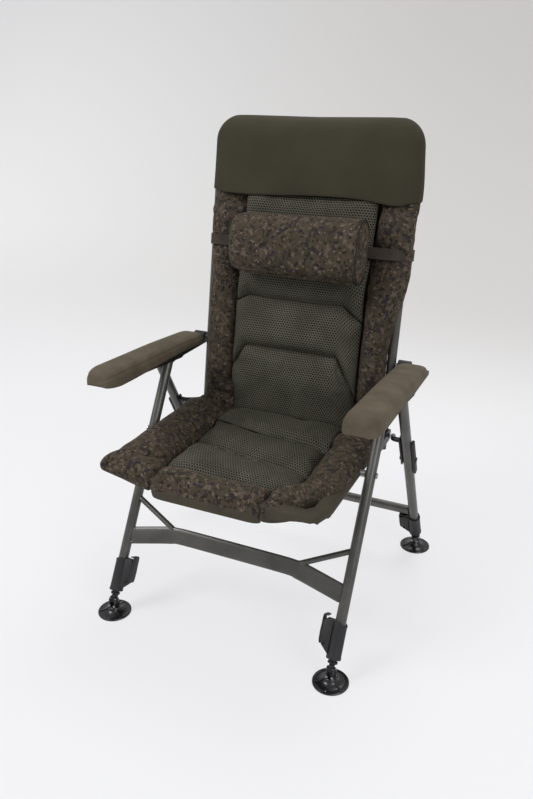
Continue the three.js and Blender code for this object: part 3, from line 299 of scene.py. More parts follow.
quarterTurn = Matrix(((1, 0, 0, 0), (0, 0, -1, 0), (0, 1, 0, 0), (0, 0, 0, 1)))


def addLathe(shape, place, profile, count=48):
    rings = []
    for radius, height in profile:
        if radius < 1e-6:
            rings.append([shape.verts.new(place @ Vector((0, 0, height)))])
            continue
        rings.append([shape.verts.new(place @ Vector((
            radius * math.cos(2 * math.pi * i / count), radius * math.sin(2 * math.pi * i / count), height)))
            for i in range(count)])
    for below, above in zip(rings, rings[1:]):
        for i in range(count):
            n = (i + 1) % count
            if len(below) == 1:
                shape.faces.new((below[0], above[n], above[i]))
            elif len(above) == 1:
                shape.faces.new((below[i], below[n], above[0]))
            else:
                shape.faces.new((below[i], below[n], above[n], above[i]))
    return rings


def addPrism(shape, place, outline, low, high):
    # outline lies in the piece's own XY plane, and the prism runs along Z
    floor = [shape.verts.new(place @ Vector((x, y, low))) for x, y in outline]
    top = [shape.verts.new(place @ Vector((x, y, high))) for x, y in outline]
    shape.faces.new(list(reversed(floor)))
    shape.faces.new(top)
    for i in range(len(outline)):
        n = (i + 1) % len(outline)
        shape.faces.new((floor[i], floor[n], top[n], top[i]))


def addRod(shape, place, start, end, radius, count=24):
    along = Vector(end) - Vector(start)
    here = place @ Matrix.Translation(start) @ along.to_track_quat("Z", "Y").to_matrix().to_4x4()
    addLathe(shape, here, [(0, 0), (radius, 0), (radius, along.length), (0, along.length)], count)


# Frames of the chair's parts

sizes = {
    "stance": 587.5, "frontLegX": 280, "rearLegX": 314.8, "ankle": 34, "apexY": 6, "apexZ": 556,
    "tube": 12, "frameX": 245, "frameTube": 11, "seatZ": 402, "seatFront": -304, "hingeY": 132,
    "lean": 119, "backLength": 700, "backTail": 37, "armAbove": 18.95, "armRise": 26, "armLength": 450}
leanAngle = math.asin(sizes["lean"] / sizes["backLength"])
armRun = (sizes["apexZ"] + sizes["armAbove"] - sizes["seatZ"]) / math.cos(leanAngle)
armTilt = math.atan2(sizes["armRise"], sizes["armLength"])


def footSpot(end, sign):
    x = sign * (sizes["frontLegX"] if end == "front" else sizes["rearLegX"])
    return x, (-0.5 if end == "front" else 0.5) * sizes["stance"]


def legPlace(end, sign):
    x, y = footSpot(end, sign)
    foot = Vector((x, y, sizes["ankle"]))
    up = (Vector((x, sizes["apexY"], sizes["apexZ"])) - foot).normalized()
    inward = Vector((-sign, 0, 0))
    turn = Matrix((inward, up.cross(inward), up)).transposed().to_4x4()
    return Matrix.Scale(mm, 4) @ Matrix.Translation(foot) @ turn


def legRun(end, height=sizes["apexZ"]):
    # Length of leg from the ankle up to a height
    whole = math.hypot(sizes["apexY"] - footSpot(end, 1)[1], sizes["apexZ"] - sizes["ankle"])
    return whole * ((height - sizes["ankle"]) / (sizes["apexZ"] - sizes["ankle"]))


seatPlace = Matrix.Scale(mm, 4) @ Matrix.Translation((0, 0, sizes["seatZ"]))
backPlace = (Matrix.Scale(mm, 4) @ Matrix.Translation((0, sizes["hingeY"], sizes["seatZ"]))
             @ Matrix.Rotation(-leanAngle, 4, "X"))
armPivot = backPlace @ Vector((0, 0, armRun)) / mm
armPlace = Matrix.Scale(mm, 4) @ Matrix.Translation(armPivot) @ Matrix.Rotation(-armTilt, 4, "X")


def planePlace(end):
    # The plane of a pair of legs: X across the chair, Z up the legs
    y = footSpot(end, 1)[1]
    turn = Matrix.Rotation(-math.atan2(sizes["apexY"] - y, sizes["apexZ"] - sizes["ankle"]), 4, "X")
    return Matrix.Scale(mm, 4) @ Matrix.Translation((0, y, sizes["ankle"])) @ turn


def keepPiece(piece, body, slot, *nodes):
    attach(piece, body)
    if nodes:
        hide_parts(*nodes)
    return piece


def showObject(name, data):
    thing = bpy.data.objects.new(name, data)
    scene.collection.objects.link(thing)
    return thing


def meshPiece(name, shape, materials, outwards=True):
    # Turns a bmesh into a shown object, with doubles merged and faces outwards
    if outwards:
        bmesh.ops.remove_doubles(shape, verts=shape.verts, dist=0.01 * mm)
        bmesh.ops.recalc_face_normals(shape, faces=shape.faces)
    data = bpy.data.meshes.new(name)
    shape.to_mesh(data)
    shape.free()
    for material in materials:
        data.materials.append(material)
    return showObject(name, data)


def settle(piece, smooth=None):
    # Applies what modifiers a piece has, so that a plain mesh is left
    if piece.modifiers:
        graph = bpy.context.evaluated_depsgraph_get()
        data = bpy.data.meshes.new_from_object(piece.evaluated_get(graph))
        piece.modifiers.clear()
        piece.data = data
    if smooth is not None:
        piece.data.shade_smooth()
        piece.data.set_sharp_from_angle(angle=math.radians(smooth))
    return piece


def roundEdges(piece, width, angle=35, segments=2, smooth=40):
    bevel = piece.modifiers.new("edges", "BEVEL")
    bevel.width = width * mm
    bevel.segments = segments
    bevel.angle_limit = math.radians(angle)
    return settle(piece, smooth)


# Tubes: a Geometry Nodes tree sweeps a round section along a path whose corners it rounds

def groupTree(name, inputs):
    tree = bpy.data.node_groups.new(name, "GeometryNodeTree")
    tree.interface.new_socket("Geometry", in_out="INPUT", socket_type="NodeSocketGeometry")
    for label, kind, value in inputs:
        socket = tree.interface.new_socket(label, in_out="INPUT", socket_type=kind)
        if value is not None:
            socket.default_value = value
    tree.interface.new_socket("Geometry", in_out="OUTPUT", socket_type="NodeSocketGeometry")
    return tree, addNode(tree, "NodeGroupInput").outputs


def endTree(tree, given, geometry):
    plain = addNode(tree, "GeometryNodeRealizeInstances", {"Geometry": geometry})
    shown = addNode(tree, "GeometryNodeSetMaterial", {
        "Geometry": plain.outputs["Geometry"], "Material": given["Finish"]})
    addNode(tree, "NodeGroupOutput", {"Geometry": shown.outputs["Geometry"]})
    return tree


def makeTubeTree():
    tree, given = groupTree("bent tube", [
        ("Bend Radius", "NodeSocketFloat", 0.04), ("Tube Radius", "NodeSocketFloat", 0.011),
        ("Bend Steps", "NodeSocketInt", 10), ("Sides", "NodeSocketInt", 32),
        ("Finish", "NodeSocketMaterial", None)])
    path = addNode(tree, "GeometryNodeMeshToCurve", {"Mesh": given["Geometry"]})
    bent = addNode(tree, "GeometryNodeFilletCurve", {
        "Curve": path.outputs["Curve"], "Radius": given["Bend Radius"], "Count": given["Bend Steps"],
        "Limit Radius": True}, mode="POLY")
    section = addNode(tree, "GeometryNodeCurvePrimitiveCircle", {
        "Resolution": given["Sides"], "Radius": given["Tube Radius"]})
    swept = addNode(tree, "GeometryNodeCurveToMesh", {
        "Curve": bent.outputs["Curve"], "Profile Curve": section.outputs["Curve"], "Fill Caps": True})
    return endTree(tree, given, swept.outputs["Mesh"])


def runTree(piece, tree, **given):
    # Sets the modifier's inputs by their identifiers, then keeps the plain mesh
    modifier = piece.modifiers.new(tree.name, "NODES")
    modifier.node_group = tree
    for item in tree.interface.items_tree:
        if item.item_type == "SOCKET" and item.in_out == "INPUT" and item.name in given:
            modifier[item.identifier] = given[item.name]
    return settle(piece, smooth=40)


def pathPiece(name, place, runs):
    # One loose chain of edges for each run of points
    data = bpy.data.meshes.new(name)
    points = []
    edges = []
    for run in runs:
        start = len(points)
        points += [place @ Vector(p) for p in run]
        edges += [(start + i, start + i + 1) for i in range(len(run) - 1)]
    data.from_pydata(points, edges, [])
    return showObject(name, data)


tubeTree = makeTubeTree()


def tubePiece(name, place, run, radius, bend, body, node):
    piece = pathPiece(name, place, [run])
    runTree(piece, tubeTree, **{
        "Bend Radius": bend * mm, "Tube Radius": radius * mm, "Bend Steps": 10, "Sides": 32,
        "Finish": framePaint})
    keepPiece(piece, body, "frame_paint", node)


# Bolts: a Geometry Nodes tree sets a washer and a hexagon head at each point, facing along its normal

def makeBoltTree():
    tree, given = groupTree("bolt heads", [
        ("Head Radius", "NodeSocketFloat", 0.0065), ("Head Height", "NodeSocketFloat", 0.004),
        ("Washer Radius", "NodeSocketFloat", 0.008), ("Finish", "NodeSocketMaterial", None)])
    half = addNode(tree, "ShaderNodeMath", {0: given["Head Height"], 1: 0.5}, operation="MULTIPLY")
    lift = addNode(tree, "ShaderNodeCombineXYZ", {"Z": half.outputs[0]})
    head = addNode(tree, "GeometryNodeMeshCylinder", {
        "Vertices": 6, "Radius": given["Head Radius"], "Depth": given["Head Height"]})
    raised = addNode(tree, "GeometryNodeTransform", {
        "Geometry": head.outputs["Mesh"], "Translation": lift.outputs["Vector"]})
    washer = addNode(tree, "GeometryNodeMeshCylinder", {
        "Vertices": 24, "Radius": given["Washer Radius"], "Depth": 0.0012})
    both = addNode(tree, "GeometryNodeJoinGeometry")
    tree.links.new(washer.outputs["Mesh"], both.inputs["Geometry"])
    tree.links.new(raised.outputs["Geometry"], both.inputs["Geometry"])
    normal = addNode(tree, "GeometryNodeInputNamedAttribute", {"Name": "facing"}, data_type="FLOAT_VECTOR")
    turn = addNode(tree, "FunctionNodeAlignRotationToVector", {
        "Vector": normal.outputs["Attribute"]}, axis="Z")
    placed = addNode(tree, "GeometryNodeInstanceOnPoints", {
        "Points": given["Geometry"], "Instance": both.outputs["Geometry"],
        "Rotation": turn.outputs["Rotation"]})
    return endTree(tree, given, placed.outputs["Instances"])


boltTree = makeBoltTree()


def boltHeads(name, body, heads, radius, height, material, slot):
    # heads are pairs of a place in metres and the way that the head faces
    data = bpy.data.meshes.new(name)
    data.from_pydata([tuple(place) for place, way in heads], [], [])
    facing = data.attributes.new("facing", "FLOAT_VECTOR", "POINT")
    for item, (place, way) in zip(facing.data, heads):
        item.vector = way
    piece = showObject(name, data)
    runTree(piece, boltTree, **{
        "Head Radius": radius * mm, "Head Height": height * mm, "Washer Radius": radius * 1.25 * mm,
        "Finish": material})
    keepPiece(roundEdges(piece, 0.5, 40, smooth=35), body, slot)


print("tools ready")

# Legs

leg = {"tubeStart": 30, "topReach": 8, "inner": 8.5, "innerReach": 150}
clamp = {
    "low": 24, "high": 104, "radius": 15.8, "inside": 12.4, "lipRadius": 16.4, "lipHigh": 29,
    "notchDepth": 9, "cheekHalf": 12, "cheekIn": 5.5, "reach": 34, "reachLow": 56, "slantLow": 32,
    "pivotOut": 27, "pivotHigh": 54}
foot = {"earIn": 5.3, "earOut": 9.3, "earRadius": 8, "ribFrom": 12, "ribTo": 37}


def buildClamp(name, place):
    shape = bmesh.new()
    low, high, outer = clamp["low"], clamp["high"], clamp["radius"]
    rings = addLathe(shape, place, [
        (9.0, low), (clamp["lipRadius"], low), (clamp["lipRadius"], clamp["lipHigh"]),
        (outer, clamp["lipHigh"] + 3),
        (outer, high - 9), (outer + 0.8, high - 7), (outer + 0.8, high), (clamp["inside"], high),
        (clamp["inside"], low + 6), (9.0, low + 6), (9.0, low)], 48)
    # The sleeve's upper edge dips on the side away from the lever
    up = place.to_3x3() @ Vector((0, 0, 1))
    for ring in (rings[6], rings[7]):
        for i, vert in enumerate(ring):
            away = max(0.0, -math.cos(2 * math.pi * i / 48))
            vert.co -= up * clamp["notchDepth"] * away ** 2
    reach, reachLow = clamp["reach"], clamp["reachLow"]
    outline = [(outer - 3, clamp["slantLow"]), (reach - 4, reachLow - 8), (reach, reachLow),
               (reach, high - 5), (reach - 4, high), (outer - 3, high)]
    # Cheeks stand in the XZ plane of the leg, so the prism's own Z is turned to Y
    for sign in (-1, 1):
        a, b = sorted((sign * clamp["cheekIn"], sign * clamp["cheekHalf"]))
        addPrism(shape, place @ quarterTurn, outline, -b, -a)
    return roundEdges(meshPiece(name, shape, [mattNylon]), 0.8)


def buildLever(name, place):
    shape = bmesh.new()
    face, half, high = clamp["reach"] + 0.3, clamp["cheekHalf"], clamp["high"]
    # Skin: a bowed strip that curls out at its finger end and in over the top
    outside = [(face + 1.5, 50), (face + 3.4, 58), (face + 3.9, 75), (face + 3.4, 92),
               (face + 3.4, high + 2), (face + 2.4, high + 8.5), (face - 2, high + 9.6),
               (face - 8, high + 8.6)]
    inside = [(face - 8, high + 6), (face - 2, high + 6.6), (face + 0.6, high + 5), (face + 0.8, high),
              (face, 92), (face, 60), (face - 1.5, 50)]
    addPrism(shape, place @ quarterTurn, outside + inside, -half, half)
    core = [(clamp["pivotOut"] - 7, 50), (face, 50), (face, high - 9), (clamp["pivotOut"] - 4, high - 18)]
    addPrism(shape, place @ quarterTurn, core, -5.1, 5.1)
    addRod(shape, place, (clamp["pivotOut"], -half - 1.4, clamp["pivotHigh"]),
           (clamp["pivotOut"], half + 1.4, clamp["pivotHigh"]), 3.6, 6)
    return roundEdges(meshPiece(name, shape, [mattNylon]), 0.7)


def buildInnerLeg(name, place):
    shape = bmesh.new()
    r = leg["inner"]
    addLathe(shape, place, [
        (0, 11.7), (r - 2, 11.7), (r - 2, 14), (11, 14.6), (11, 19), (r + 0.4, 19.6), (r, 20.4),
        (r, leg["innerReach"]), (0, leg["innerReach"])], 40)
    turn = Matrix.Rotation(math.radians(90), 4, "Y")
    half = 7.5
    tongue = [(half * math.sin(math.pi * i / 12), -half * math.cos(math.pi * i / 12)) for i in range(13)]
    tongue += [(-12, half), (-12, -half)]
    addPrism(shape, place @ turn, tongue, -5, 5)
    return roundEdges(meshPiece(name, shape, [blackSteel]), 0.5)


def buildFoot(name, place):
    shape = bmesh.new()
    addLathe(shape, place, [
        (0, 0), (38.6, 0), (40, 1.0), (40, 3.2), (38.8, 4.6), (37, 4.9), (35.4, 4.2), (33, 3.6),
        (27, 4.8), (20, 7.4), (16, 10.4), (14, 13.4), (13, 16), (11.6, 17), (0, 17)], 64)
    disc = meshPiece(name, shape, [glossNylon])
    # A small hole near the front of the rim
    cutter = bmesh.new()
    addRod(cutter, place, (0, -31, -3), (0, -31, 14), 2.4, 20)
    hole = meshPiece(name + "_hole", cutter, [])
    through = disc.modifiers.new("hole", "BOOLEAN")
    through.object = hole
    through.operation = "DIFFERENCE"
    through.solver = "EXACT"
    settle(disc)
    bpy.data.objects.remove(hole)
    shape = bmesh.new()
    shape.from_mesh(disc.data)
    # Three raised ribs run out from the hub, one straight back
    for k in range(3):
        here = place @ Matrix.Rotation(math.radians(90 + 120 * k), 4, "Z")
        addPrism(shape, here @ quarterTurn, [
            (foot["ribFrom"], 2), (foot["ribTo"], 2), (foot["ribTo"], 4.6), (foot["ribFrom"] + 10, 8),
            (foot["ribFrom"], 15)], -2.2, 2.2)
    for sign in (-1, 1):
        near, far = sign * foot["earIn"], sign * foot["earOut"]
        ear = [(foot["earRadius"] * math.cos(a), foot["earRadius"] * math.sin(a) + sizes["ankle"])
               for a in [math.pi * i / 14 for i in range(15)]] + [(-9.5, 15), (9.5, 15)]
        turn = Matrix(((0, 0, 1, 0), (1, 0, 0, 0), (0, 1, 0, 0), (0, 0, 0, 1)))
        addPrism(shape, place @ turn, ear, min(near, far), max(near, far))
    addRod(shape, place, (-11.5, 0, sizes["ankle"]), (11.5, 0, sizes["ankle"]), 3.4, 6)
    piece = meshPiece(name, shape, [glossNylon])
    bpy.data.objects.remove(disc)
    return roundEdges(piece, 0.6)


for end in ("front", "rear"):
    for side, sign in sides.items():
        corner = f"{end}_{side}"
        place = legPlace(end, sign)
        body = f"{end}_legs"
        top = legRun(end) + leg["topReach"]
        tubePiece(f"legTube_{corner}", place, [(0, 0, leg["tubeStart"]), (0, 0, top)], sizes["tube"], 0,
                  body, f"leg_tube_{corner}")
        shape = bmesh.new()
        addLathe(shape, place, [(0, top + 0.3), (11.9, top + 0.3), (11.4, top + 1.9), (9.6, top + 2.6),
                                (0, top + 2.8)], 40)
        plug = roundEdges(meshPiece(f"legPlug_{corner}", shape, [mattNylon]), 0.3)
        keepPiece(plug, body, "black_nylon", f"leg_plug_{corner}")
        keepPiece(buildClamp(f"legClamp_{corner}", place), body, "black_nylon", f"leg_clamp_{corner}")
        ground = Matrix.Scale(mm, 4) @ Matrix.Translation((*footSpot(end, sign), 0))
        for build, name, node, at, slot in (
                (buildLever, "clampLever", "clamp_lever", place, "black_nylon"),
                (buildInnerLeg, "innerLeg", "inner_leg", place, "black_steel"),
                (buildFoot, "mudFoot", "mud_foot", ground, "gloss_nylon")):
            keepPiece(build(f"{name}_{corner}", at), f"{node}_{corner}", slot, f"{node}_{corner}")
        # Bright screws in the foot's hub, and black ones at the clamp's lower corner
        screws = [(ground @ Vector((dx, -10.5, 22)), Vector((0, -1, 0.3))) for dx in (-6.5, 6.5)]
        boltHeads(f"footScrews_{corner}", f"mud_foot_{corner}", screws, 2.6, 2.2, zincSteel, "zinc_steel")
        out = place.to_3x3().normalized() @ Vector((0, 1, 0))
        spot = Vector((clamp["reach"] - 7, 0, clamp["slantLow"] + 20))
        boltHeads(f"clampScrews_{corner}", body, [
            (place @ (spot + Vector((0, s * clamp["cheekHalf"], 0))), out * s) for s in (-1, 1)],
            3.4, 2.4, blackSteel, "black_steel")
print("legs ready")

# Front and rear frame bars

arch = {"legLow": 141, "legHigh": 182, "bendX": 155, "bendLow": 171, "bendHigh": 206, "thick": 10,
        "braceLeg": 253, "braceX": 163, "braceEnd": 200, "braceRadius": 6.5}


def buildArch(name):
    place = planePlace("front")
    # Middle line of the bar with rounded bends, then a flat oval section along it
    tall = arch["legHigh"] - arch["legLow"]
    ends = sizes["frontLegX"] - sizes["tube"] + 2
    slope = (arch["bendLow"] - arch["legLow"]) / (sizes["frontLegX"] - arch["bendX"])
    line = []
    for step in range(61):
        x = -ends + 2 * ends * step / 60
        beyond = abs(x) - arch["bendX"]
        soft = 14
        rise = (math.sqrt(beyond * beyond + soft * soft) + beyond) / 2
        line.append((x, (arch["bendLow"] + arch["bendHigh"]) / 2 - rise * slope))
    shape = bmesh.new()
    rings = []
    for i, (x, z) in enumerate(line):
        before = Vector(line[max(i - 1, 0)])
        after = Vector(line[min(i + 1, 60)])
        along = (after - before).normalized()
        across = Vector((-along.y, along.x))
        ring = []
        for k in range(28):
            angle = 2 * math.pi * k / 28
            c, s = math.cos(angle), math.sin(angle)
            half = tall / 2 * (0.93 if abs(x) < arch["bendX"] else 1.0)
            w = half * math.copysign(abs(c) ** 0.55, c)
            d = (arch["thick"] / 2 + 0.5) * math.copysign(abs(s) ** 0.55, s)
            ring.append(shape.verts.new(place @ Vector((x + across.x * w, d, z + across.y * w))))
        rings.append(ring)
    for a, b in zip(rings, rings[1:]):
        for k in range(28):
            n = (k + 1) % 28
            shape.faces.new((a[k], a[n], b[n], b[k]))
    shape.faces.new(rings[0])
    shape.faces.new(list(reversed(rings[-1])))
    # Weld collars where the bar meets the legs
    for sign in (-1, 1):
        for z in (arch["legLow"] + 4, arch["legHigh"] - 4):
            addRod(shape, place, (sign * (ends - 7), -3, z), (sign * (ends - 1), -3, z), 3.2, 12)
    piece = meshPiece(name, shape, [framePaint])
    return settle(piece, smooth=50)


keepPiece(buildArch("frontArchBar"), "front_legs", "frame_paint", "front_arch_bar")
for side, sign in sides.items():
    start = Vector((sign * (sizes["frontLegX"] - 10), 0, arch["braceLeg"]))
    end = Vector((sign * arch["braceX"], 0, arch["braceEnd"]))
    tubePiece(f"frontBrace_{side}", planePlace("front"), [start, end], arch["braceRadius"], 0, "front_legs",
              f"front_brace_{side}")
shape = bmesh.new()
crossBar = {"high": legRun("rear", 147), "half": sizes["rearLegX"] - 11.5, "tall": 25}
far, tall = crossBar["half"], crossBar["tall"] / 2
addPrism(shape, planePlace("rear"), [(-far, -7.5), (far, -7.5), (far, 7.5), (-far, 7.5)],
         crossBar["high"] - tall, crossBar["high"] + tall)
keepPiece(roundEdges(meshPiece("rearCrossBar", shape, [framePaint]), 2.5, segments=4),
          "rear_legs", "frame_paint", "rear_cross_bar")

# Seat and back tubes

seatCorner = 40
railFront = sizes["seatFront"] + seatCorner + 6
fx = sizes["frameX"]
for side, sign in sides.items():
    tubePiece(f"seatRail_{side}", seatPlace, [(sign * fx, railFront + 0.3, 0), (sign * fx, 88, 0)],
              sizes["frameTube"], 0, "seat", f"seat_rail_{side}")
    tubePiece(f"backTube_{side}", backPlace, [(sign * fx, 0, -sizes["backTail"]), (sign * fx, 0, 609.7)],
              sizes["frameTube"], 0, "back", f"back_tube_{side}")
front, top = sizes["seatFront"], sizes["backLength"]
bow = [(-fx, railFront, 0), (-fx, front, 0), (fx, front, 0), (fx, railFront, 0)]
tubePiece("seatFrontBow", seatPlace, bow, sizes["frameTube"], seatCorner, "seat", "seat_front_bow")
tubePiece("seatRearBar", seatPlace, [(-fx + 11, 30, 0), (fx - 11, 30, 0)], 8, 0, "seat", "seat_rear_bar")
bow = [(-fx, 0, 610), (-fx, 0, top), (fx, 0, top), (fx, 0, 610)]
tubePiece("backTopBow", backPlace, bow, sizes["frameTube"], 62, "back", "back_top_bow")


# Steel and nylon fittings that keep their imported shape, with their edges rounded

def smooth(value, low, high):
    t = min(max((value - low) / (high - low), 0.0), 1.0)
    return t * t * (3 - 2 * t)


def refined(node, name, body, material, slot, width, angle=30):
    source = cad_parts[node]
    shape = bmesh.new()
    shape.from_mesh(source.data)
    shape.transform(source.matrix_world)
    bmesh.ops.remove_doubles(shape, verts=shape.verts, dist=0.02 * mm)
    bmesh.ops.dissolve_limit(shape, angle_limit=math.radians(2), verts=shape.verts, edges=shape.edges)
    piece = meshPiece(name, shape, [material], outwards=False)
    return keepPiece(roundEdges(piece, width, angle), body, slot, node)


armTip = {"from": 350, "to": 421, "middle": 298, "narrow": 0.42, "back": 16, "up": 5}
steelLook, nylonLook = (blackSteel, "black_steel"), (mattNylon, "black_nylon")
for side, sign in sides.items():
    refined(f"seat_hinge_plate_{side}", f"seatHingePlate_{side}", "seat", *steelLook, 0.8)
    refined(f"lock_link_{side}", f"lockLink_{side}", "rear_legs", *steelLook, 0.5, 40)
    refined(f"lock_lever_{side}", f"lockLever_{side}", f"lock_lever_{side}", *nylonLook, 1.2)
    base = refined(f"arm_base_{side}", f"armBase_{side}", f"arm_{side}", *nylonLook, 0.5)
    # The base narrows towards its tip, so that the rounded nose of the padded cover closes round it
    toArm = armPlace.inverted()
    for vert in base.data.vertices:
        spot = toArm @ vert.co
        tip = smooth(-spot.y, armTip["from"], armTip["to"])
        middle = armTip["middle"]
        spot.x = sign * (middle + (abs(spot.x) - middle) * (1 - armTip["narrow"] * tip))
        spot.y += armTip["back"] * tip
        spot.z += armTip["up"] * tip * smooth(-spot.z, 12, 30)
        vert.co = armPlace @ spot
    for node in (f"apex_pin_{side}", f"seat_bolt_{side}", f"back_bolt_{side}", f"arm_bolt_{side}"):
        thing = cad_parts[node]
        thing.data.materials.clear()
        thing.data.materials.append(zincSteel)
print("frame ready")


# Soft pieces: grids whose points carry their place at rest and their place along the cloth

def storeCloth(piece):
    data = piece.data
    spot = data.attributes.new("spot", "FLOAT_VECTOR", "POINT")
    for item, vert in zip(spot.data, data.vertices):
        item.vector = vert.co
    if "lay" not in data.attributes:
        lay = data.attributes.new("lay", "FLOAT_VECTOR", "POINT")
        for item, vert in zip(lay.data, data.vertices):
            item.vector = (vert.co.x, vert.co.z + vert.co.y, 0)


def gridShape(rows, place, layRows=None, closed=False, zoneOf=None):
    # rows[j][i] are points in millimetres; closed joins the last column to the first
    shape = bmesh.new()
    layer = shape.verts.layers.float_vector.new("lay")
    made = []
    for j, row in enumerate(rows):
        line = []
        for i, point in enumerate(row):
            vert = shape.verts.new(place @ Vector(point))
            if layRows is not None:
                vert[layer] = Vector(layRows[j][i]) * mm
            line.append(vert)
        made.append(line)
    for j in range(len(rows) - 1):
        columns = len(rows[j])
        for i in range(columns if closed else columns - 1):
            n = (i + 1) % columns
            face = shape.faces.new((made[j][i], made[j][n], made[j + 1][n], made[j + 1][i]))
            if zoneOf:
                face.material_index = zoneOf(i, j)
    return shape, made


def layOf(rows):
    # Running lengths along both directions of a grid, measured through its middle
    columns = len(rows[0])
    across = [[0.0] * columns for _ in rows]
    for j, row in enumerate(rows):
        run = 0.0
        for i in range(1, columns):
            run += (Vector(row[i]) - Vector(row[i - 1])).length
            across[j][i] = run
        middle = across[j][columns // 2]
        across[j] = [a - middle for a in across[j]]
    down = []
    run = 0.0
    half = columns // 2
    for j, row in enumerate(rows):
        if j:
            run += (Vector(row[half]) - Vector(rows[j - 1][half])).length
        down.append(run)
    return [[(across[j][i], down[j], 0) for i in range(columns)] for j in range(len(rows))]


def closeEnds(shape, made):
    shape.faces.new(made[0])
    shape.faces.new(list(reversed(made[-1])))


def layFlat(shape, axis):
    # A closed shape's cloth runs along x and one other axis
    layer = shape.verts.layers.float_vector.get("lay")
    for vert in shape.verts:
        vert[layer] = Vector((vert.co.x, vert.co[axis], 0))


def onLine(points, share):
    # The point at a share of the way along a list of points, all spans counted alike
    span = share * (len(points) - 1)
    k = min(int(span), len(points) - 2)
    f = span - k
    return [points[k][n] * (1 - f) + points[k + 1][n] * f for n in (0, 1)]


def clothPiece(name, shape, *materials):
    piece = meshPiece(name, shape, materials)
    storeCloth(piece)
    return piece


def puff(edge, reach):
    # Height of a stuffed panel beside its seam: steep at the seam, level from reach on
    t = min(max(edge / reach, 0.0), 1.0)
    return math.sqrt(1 - (1 - t) ** 2)


def soften(piece):
    finer = piece.modifiers.new("finer", "SUBSURF")
    finer.levels = 1
    finer.render_levels = 1
    settle(piece)
    piece.data.shade_smooth()
    return piece


def thicken(piece, thickness):
    # Gives a sheet its thickness, and returns the area it had as a plain sheet
    area = sum(p.area for p in piece.data.polygons)
    thick = piece.modifiers.new("thick", "SOLIDIFY")
    thick.thickness = thickness * mm
    thick.offset = 0
    settle(piece, smooth=60)
    storeCloth(piece)
    return area


def stuffed(piece, holdNear, pressure, slack, cap):
    # Cloth simulation: the panel swells and puckers between its seams, and no point moves past cap
    data = piece.data
    group = piece.vertex_groups.new(name="held")
    for vert in data.vertices:
        weight = holdNear(vert)
        if weight > 0:
            group.add([vert.index], weight, "REPLACE")
    sim = piece.modifiers.new("puff", "CLOTH")
    sets = sim.settings
    sets.quality = 5
    sets.mass = 0.2
    sets.tension_stiffness = 12
    sets.compression_stiffness = 8
    sets.shear_stiffness = 4
    sets.bending_stiffness = 0.15
    sets.use_pressure = True
    sets.uniform_pressure_force = pressure
    sets.shrink_min = -slack
    sets.vertex_group_mass = "held"
    sets.effector_weights.gravity = 0
    sim.collision_settings.use_collision = False
    sim.point_cache.frame_start = 1
    sim.point_cache.frame_end = 20
    rest = [v.co.copy() for v in data.vertices]
    for step in range(1, 21):
        scene.frame_set(step)
    graph = bpy.context.evaluated_depsgraph_get()
    moved = [v.co.copy() for v in piece.evaluated_get(graph).data.vertices]
    piece.modifiers.remove(sim)
    scene.frame_set(1)
    for vert, a, b in zip(data.vertices, rest, moved):
        shift = b - a
        if shift.length > cap * mm:
            shift *= cap * mm / shift.length
        vert.co = a + shift
    piece.vertex_groups.remove(group)
    return soften(piece)


# Seat cushion: two border rolls that turn the front corners, a front roll and three mesh panels

seatLook = {
    "outer": 264, "inner": 155, "rear": 112, "front": -333, "meshFront": -244, "notch": 128,
    "cornerCut": 14, "innerRound": 34, "notchReach": 30}


def cornerPath(sign, t):
    # Outer and inner line of a border roll; t runs from the crease (0) round the corner to the notch (1)
    o, i = seatLook["outer"], seatLook["inner"]
    rear, front, mesh, notch = seatLook["rear"], seatLook["front"], seatLook["meshFront"], seatLook["notch"]
    cutBack = seatLook["cornerCut"]
    outer = [(o - 8, rear), (o, 60), (o, front + cutBack + 12), (o - 6, front + cutBack - 4),
             (o - 60, front + 8), (notch, front)]
    if sign > 0:
        # The right front corner is cut off at a long slant
        outer = [(o - 14, rear), (o - 7, 60), (o - 9, -186), (o - 20, -214), (o - 82, -288),
                 (notch, front - 2)]
    inner = [(i - 6, rear), (i, 40), (i, mesh + seatLook["innerRound"]), (i - 7, mesh + 9),
             (i - 22, mesh + 1), (notch, mesh)]
    stops = [0, 0.14, 0.66, 0.74, 0.86, 1.0] if sign < 0 else [0, 0.13, 0.55, 0.61, 0.80, 1.0]
    for k in range(5):
        if t <= stops[k + 1]:
            u = (t - stops[k]) / (stops[k + 1] - stops[k])
            break
    pick = lambda line: tuple(line[k][n] * (1 - u) + line[k + 1][n] * u for n in (0, 1))
    a, b = pick(outer), pick(inner)
    return Vector((sign * a[0], a[1])), Vector((sign * b[0], b[1]))


def rollSection(u, plain):
    # Section of a border roll from its lower outer edge (0) over the crest to the mesh seam (1):
    # share of the width from the outer line, height above the seat tubes
    points = [(0.10, 8), (0.015, 9), (-0.012, 16), (-0.008, 24), (0.04, 32), (0.14, 37.5), (0.30, 39),
              (0.48, 37), (0.66, 31), (0.82, 19), (0.93, 5), (1.0, -8)]
    if plain:
        points = [(0.06, -8), (0.01, -7), (0.0, 4), (0.005, 13), (0.04, 22), (0.14, 29), (0.30, 33),
                  (0.48, 33), (0.66, 28), (0.82, 17), (0.93, 4), (1.0, -8)]
    span = u * (len(points) - 1)
    k = min(int(span), len(points) - 2)
    f = span - k
    p = [points[max(k - 1, 0)], points[k], points[k + 1], points[min(k + 2, len(points) - 1)]]
    out = []
    for n in (0, 1):
        a, b, c, d = (q[n] for q in p)
        out.append(0.5 * (2 * b + (c - a) * f + (2 * a - 5 * b + 4 * c - d) * f * f
                          + (3 * b - a - 3 * c + d) * f ** 3))
    return out


